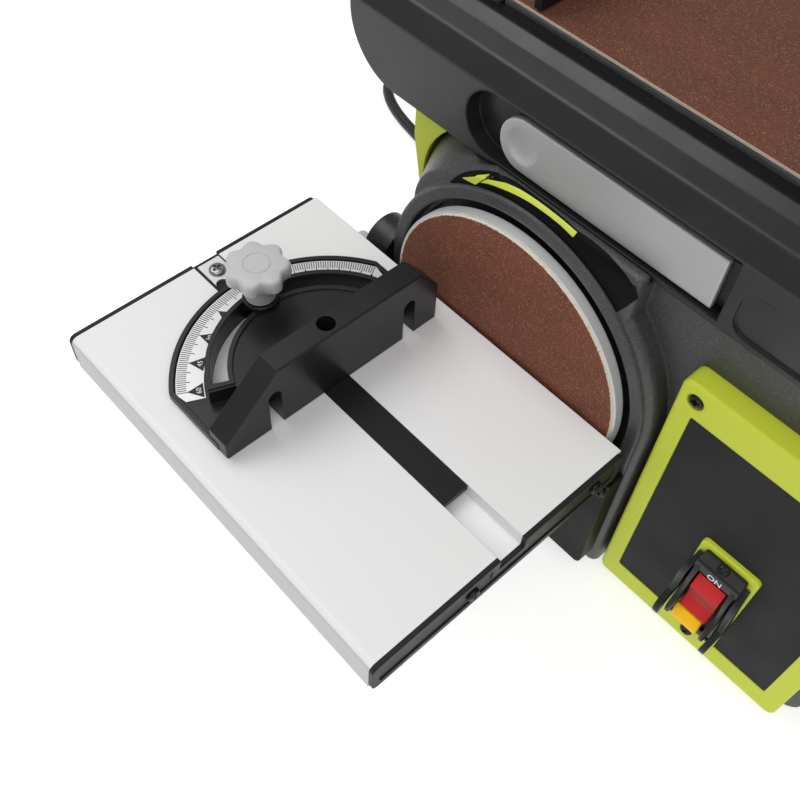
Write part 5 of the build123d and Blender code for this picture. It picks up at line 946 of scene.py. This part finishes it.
gauge_knob_x = -158.0
gauge_knob_y = -161.0
hand_knob(
    "gauge_clamp_knob", "gauge_knob", "mitre_knob", (gauge_knob_x, gauge_knob_y, 0.0), (0, 0, 1), lobes=7,
    stud=3.0, stud_from=124.3, collar=7.8, collar_from=142.9,
    head_from=153.6, head_to=166.0, radius=16.4, lobe=2.6,
)
hand_knob(
    "table_tilt_knob", "table_lock", "table_lock_knob", (-173.0, -75.0, 92.0), (-1, 0, 0), lobes=7,
    stud=4.0, stud_from=-15.3, collar=8.0, collar_from=0.3,
    head_from=2.8, head_to=17.8, radius=15.0, lobe=2.4,
)
hand_knob(
    "belt_tracking_knob", "tracking", "tracking_knob", (243.33, -55.0, 247.0), (1, 0, 0), lobes=6,
    stud=3.0, stud_from=-22.0, collar=5.0, collar_from=0.6,
    head_from=3.0, head_to=19.0, radius=13.0, lobe=2.2,
)
hand_knob(
    "arm_clamp_knob", "arm_lock", "arm_lock_knob", (-193.0, 75.0, 247.0), (-1, 0, 0), lobes=6,
    stud=3.0, stud_from=-9.7, collar=5.0, collar_from=1.0,
    head_from=6.0, head_to=24.0, radius=14.0, lobe=2.3,
)

# Work table: an aluminium extrusion with a slot for the gauge, fine-milled and clear anodised on top.
# Black moulded caps close its two ends, each held by two screws.
table_alloy = lined(
    "anodised_aluminium", tint(238, 238, 238), stretch=(30.0, 1500.0, 1500.0), mottle=0.02, smooth=0.42,
    rough=0.55, depth=0.003, metallic=0.06, edge=0.5, shine=0.2,
)
# The table's front nose, below the rounding of its top, is painted a darker grey as painted shade.
nose_y = -239.0
nose_z = 126.8
table_tree = table_alloy.node_tree
nose_shade_low = rise(table_tree, along(table_tree, "Z"), nose_z, nose_z - 0.8)
nose_shade_front = reckon(table_tree, "LESS_THAN", along(table_tree, "Y"), nose_y * mm)
over(table_alloy, reckon(table_tree, "MULTIPLY", nose_shade_low, nose_shade_front), tint(196, 196, 197))
dress(table_alloy, "table_plate")
cap_set = bmesh.new()
drive_screws(
    cap_set, cover_blank,
    [((x, y, 117.0), (way, 0, 0)) for x, way in ((-208.7, -1), (20.2, 1)) for y in (-185.0, -103.0)],
)
settle(cap_set, "table_screw_set", "table", dark_screw, "dark_screw", "table_screws")

# Mitre gauge: a die-cast head with its fence, painted matte charcoal, swinging on a black steel bar.
# A silver anodised scale is let into the head behind a raised rim, a nickel pointer is screwed to the
# bar, and a black steel washer lies under the clamp knob.
gauge_paint = grained(
    "gauge_charcoal", tint(30, 30, 31), scale=1700.0, mottle=0.10, smooth=0.26, rough=0.36, depth=0.01,
    edge=0.7, shine=0.35,
)
dress(gauge_paint, "mitre_head")
washer = bmesh.new()
washer_outline = [(3.1, 141.2), (9.0, 141.2), (9.4, 141.6), (9.4, 142.4), (8.9, 142.9), (3.1, 142.9)]
turned(
    washer, [(gauge_knob_x + r, gauge_knob_y, z) for r, z in washer_outline],
    (gauge_knob_x, gauge_knob_y, 0), (0, 0, 1), steps=40, closed=True,
)
settle(washer, "gauge_clamp_washer", "gauge_knob", gauge_paint, "gauge_paint")
bar_black = lined(
    "blacked_bar", tint(34, 34, 35), stretch=(30.0, 1400.0, 1400.0), mottle=0.12, smooth=0.32,
    rough=0.45, depth=0.004, metallic=0.0, edge=0.4, shine=0.18,
)
dress(bar_black, "mitre_bar")
bright_nickel = grained(
    "bright_nickel", tint(238, 238, 238), scale=2400.0, mottle=0.06, smooth=0.2, rough=0.32,
    depth=0.006, metallic=0.5, edge=0.3,
)
pivot_x = -106.0
pivot_y = -161.0
scale_floor = 131.1
scale_sheet = 0.5
scale_inner = 60.0
scale_outer = 73.6
scale_end = 64.5
corner_cut = 4.0
tick_print = 0.06
about_pivot = Matrix.Translation((pivot_x, pivot_y, 0.0))


def scale_place(reach, degrees, height):
    """A place on the scale: x runs outwards there, zero degrees is at the pointer."""
    return (
        about_pivot
        @ Matrix.Rotation(math.radians(180.0 + degrees), 4, "Z")
        @ Matrix.Translation((reach, 0.0, height))
    )


scale_silver = lined(
    "silver_scale", tint(222, 223, 224), stretch=(1300.0, 1300.0, 1300.0), mottle=0.03, smooth=0.35,
    rough=0.45, depth=0.002, metallic=0.5, edge=0.15,
)
plate = bmesh.new()
plate_near = plate.verts.new(scale_place(scale_inner, -scale_end, scale_floor).translation)
plate_far = plate.verts.new(scale_place(scale_outer, -scale_end, scale_floor).translation)
plate_edge = plate.edges.new((plate_near, plate_far))
bmesh.ops.spin(
    plate, geom=[plate_near, plate_far, plate_edge], cent=(pivot_x, pivot_y, 0.0), axis=(0, 0, 1),
    angle=math.radians(2 * scale_end), steps=96, use_merge=False,
)
for side in (-1, 1):
    corner = scale_place(scale_outer, side * (scale_end - corner_cut), scale_floor)
    cut_way = (corner.to_3x3() @ Vector((0.75, side * 0.66, 0.0))).normalized()
    bmesh.ops.bisect_plane(
        plate, geom=plate.verts[:] + plate.edges[:] + plate.faces[:], plane_co=corner.translation,
        plane_no=cut_way, clear_outer=True,
    )
pull_out(plate, list(plate.faces), (0, 0, scale_sheet))
settle(plate, "gauge_scale", "gauge_head", scale_silver, "nickel")

scale_ink = grained(
    "scale_ink", tint(28, 28, 30), scale=2600.0, mottle=0.1, smooth=0.5, rough=0.65, depth=0.004,
    edge=0.05,
)
tick_end = 60
tick_outer = 73.2
tick_short = 4.6
tick_long = 6.6
tick_width = 0.42
marks = bmesh.new()
for degree in range(-tick_end, tick_end + 1):
    tick = tick_long if degree % 5 == 0 else tick_short
    bmesh.ops.create_cube(
        marks, size=1.0,
        matrix=scale_place(tick_outer - tick / 2, degree, scale_floor + scale_sheet + tick_print / 2)
        @ Matrix.Diagonal((tick, tick_width, tick_print, 1.0)),
    )
numbered = (-60, -45, -30, -15, 15, 30, 45, 60)
number_size = 3.6
number_reach = 62.6
wedge_base = 60.4
wedge_point = 68.2
wedge_half = 4.4
for degree in numbered:
    flat = scale_place(0.0, degree, scale_floor + scale_sheet)
    corners = [
        marks.verts.new(flat @ Vector(p))
        for p in ((wedge_base, -wedge_half, 0.0), (wedge_point, 0.0, 0.0), (wedge_base, wedge_half, 0.0))
    ]
    pull_out(marks, [marks.faces.new(corners)], (0, 0, tick_print))
settle(marks, "gauge_scale_marks", "gauge_head", scale_ink, "gauge_paint")

numbers = bmesh.new()
for degree in numbered:
    print_word(
        numbers, str(abs(degree)), number_size, tick_print,
        scale_place(number_reach, degree, scale_floor + scale_sheet + 1.4 * tick_print)
        @ Matrix.Rotation(math.radians(-90.0), 4, "Z"),
    )
settle(numbers, "gauge_scale_numbers", "gauge_head", white_ink, "nickel")

pointer_left = -205.4
pointer_right = -188.6
pointer_half = 6.7
notch_half = 3.4
notch_depth = 2.4
notch_share = 0.94
notch_steps = 10
pointer_floor = 127.8
pointer_sheet = 1.2
pointer = bmesh.new()
pointer_rim = [(pointer_left, -pointer_half), (pointer_right, -pointer_half)]
for side in (-1, 1):
    for step in range(1, notch_steps):
        swing = math.pi * step / notch_steps
        across = side * notch_half - notch_half * math.cos(swing) * notch_share
        pointer_rim.append((pointer_right - notch_depth * math.sin(swing), across))
pointer_rim += [(pointer_right, pointer_half), (pointer_left, pointer_half)]
pointer_points = [pointer.verts.new((x, pivot_y + y, pointer_floor)) for x, y in pointer_rim]
pull_out(pointer, [pointer.faces.new(pointer_points)], (0, 0, pointer_sheet))
settle(pointer, "notched_pointer", "gauge_bar", bright_nickel, "nickel", "pointer_plate")

pointer_blank = pan_head(radius=4.6, height=2.2, shank=1.5, length=4.7)
pointer_seat = (-197.0, pivot_y, pointer_floor + pointer_sheet)
pointer_set = bmesh.new()
drive_screws(pointer_set, pointer_blank, [(pointer_seat, (0, 0, 1))])
screw_nickel = grained(
    "screw_nickel", tint(150, 150, 150), scale=2400.0, mottle=0.2, smooth=0.2, rough=0.3, depth=0.02,
    metallic=0.9, edge=0.2,
)
settle(pointer_set, "pointer_screw_cross", "gauge_bar", screw_nickel, "nickel", "pointer_screw")

# Mains cord: a round black rubber lead out of a moulded gland in the left wall, over the bench to the left,
# its spare length wound in a flat coil behind the machine, held by a tie and ending in a moulded plug.
cord_jacket = grained(
    "cord_rubber", tint(22, 22, 23), scale=2400.0, mottle=0.12, smooth=0.42, rough=0.55, depth=0.02,
)
plug_black = grained(
    "plug_vinyl", tint(26, 26, 27), scale=2200.0, mottle=0.12, smooth=0.38, rough=0.5, depth=0.02,
)
dress(plug_black, "mains_plug", "coil_tie")
cord_diameter = 8.5
coil_x = -238.0
coil_y = 192.0
coil_outer = 56.0
coil_pitch = 9.2
coil_start = 98.0
coil_layer = 2.25
coil_climb = 0.5
coil_z = 6.05
coil_lead_in = 37.0
plug_lead = 40.0
coil_inner = coil_outer - coil_pitch * coil_layer
coil_turns = 2 * coil_layer + coil_climb


def wound(turn):
    """Where the cord lies after so many turns: in through the lower layer, up, and out through the upper."""
    climbed = min(max((turn - coil_layer) / coil_climb, 0.0), 1.0)
    if turn <= coil_layer:
        reach = coil_outer - coil_pitch * turn
    elif turn >= coil_layer + coil_climb:
        reach = coil_inner + coil_pitch * (turn - coil_layer - coil_climb)
    else:
        reach = coil_inner - coil_pitch * coil_climb / math.pi * math.sin(math.pi * climbed)
    angle = math.radians(coil_start - 360.0 * turn)
    return Vector(
        (
            coil_x + reach * math.cos(angle),
            coil_y + reach * math.sin(angle),
            coil_z + coil_pitch * (3 * climbed**2 - 2 * climbed**3),
        )
    )


def heading(turn):
    """Way the wound cord runs at that turn."""
    nudge = 1e-4
    return (wound(turn + nudge) - wound(turn - nudge)).normalized()


coil_entry = wound(0.0) - heading(0.0) * cord_diameter
before_coil = coil_entry - heading(0.0) * coil_lead_in
route = [
    Vector(point)
    for point in (
        (-147.0, 55.0, 38.0), (-218.0, 55.0, 38.0), (-285.0, 97.0, 5.0), (-362.0, 111.0, 4.3),
        (-390.1, 142.2, 4.3), (-393.0, 184.1, 4.3), (-369.5, 218.9, 4.7), (-329.6, 231.9, 5.5),
    )
] + [before_coil, coil_entry]
points_a_turn = 16
route += [wound(step / points_a_turn) for step in range(round(coil_turns * points_a_turn) + 1)]
route += [wound(coil_turns) + heading(coil_turns) * plug_lead]
cord_line = bpy.data.curves.new("mains_lead", "CURVE")
cord_line.dimensions = "3D"
cord_line.bevel_depth = cord_diameter / 2 * mm
cord_line.bevel_resolution = 5
cord_line.resolution_u = 6
cord_line.use_fill_caps = True
run = cord_line.splines.new("NURBS")
run.points.add(len(route) - 1)
for knot, point in zip(run.points, route):
    knot.co = (point.x * mm, point.y * mm, point.z * mm, 1.0)
run.order_u = 3
run.use_endpoint_u = True
cord_line.materials.append(cord_jacket)
mains_lead = bpy.data.objects.new("mains_lead", cord_line)
scene.collection.objects.link(mains_lead)
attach(mains_lead, "base")
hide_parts("power_cord", "cord_coil")
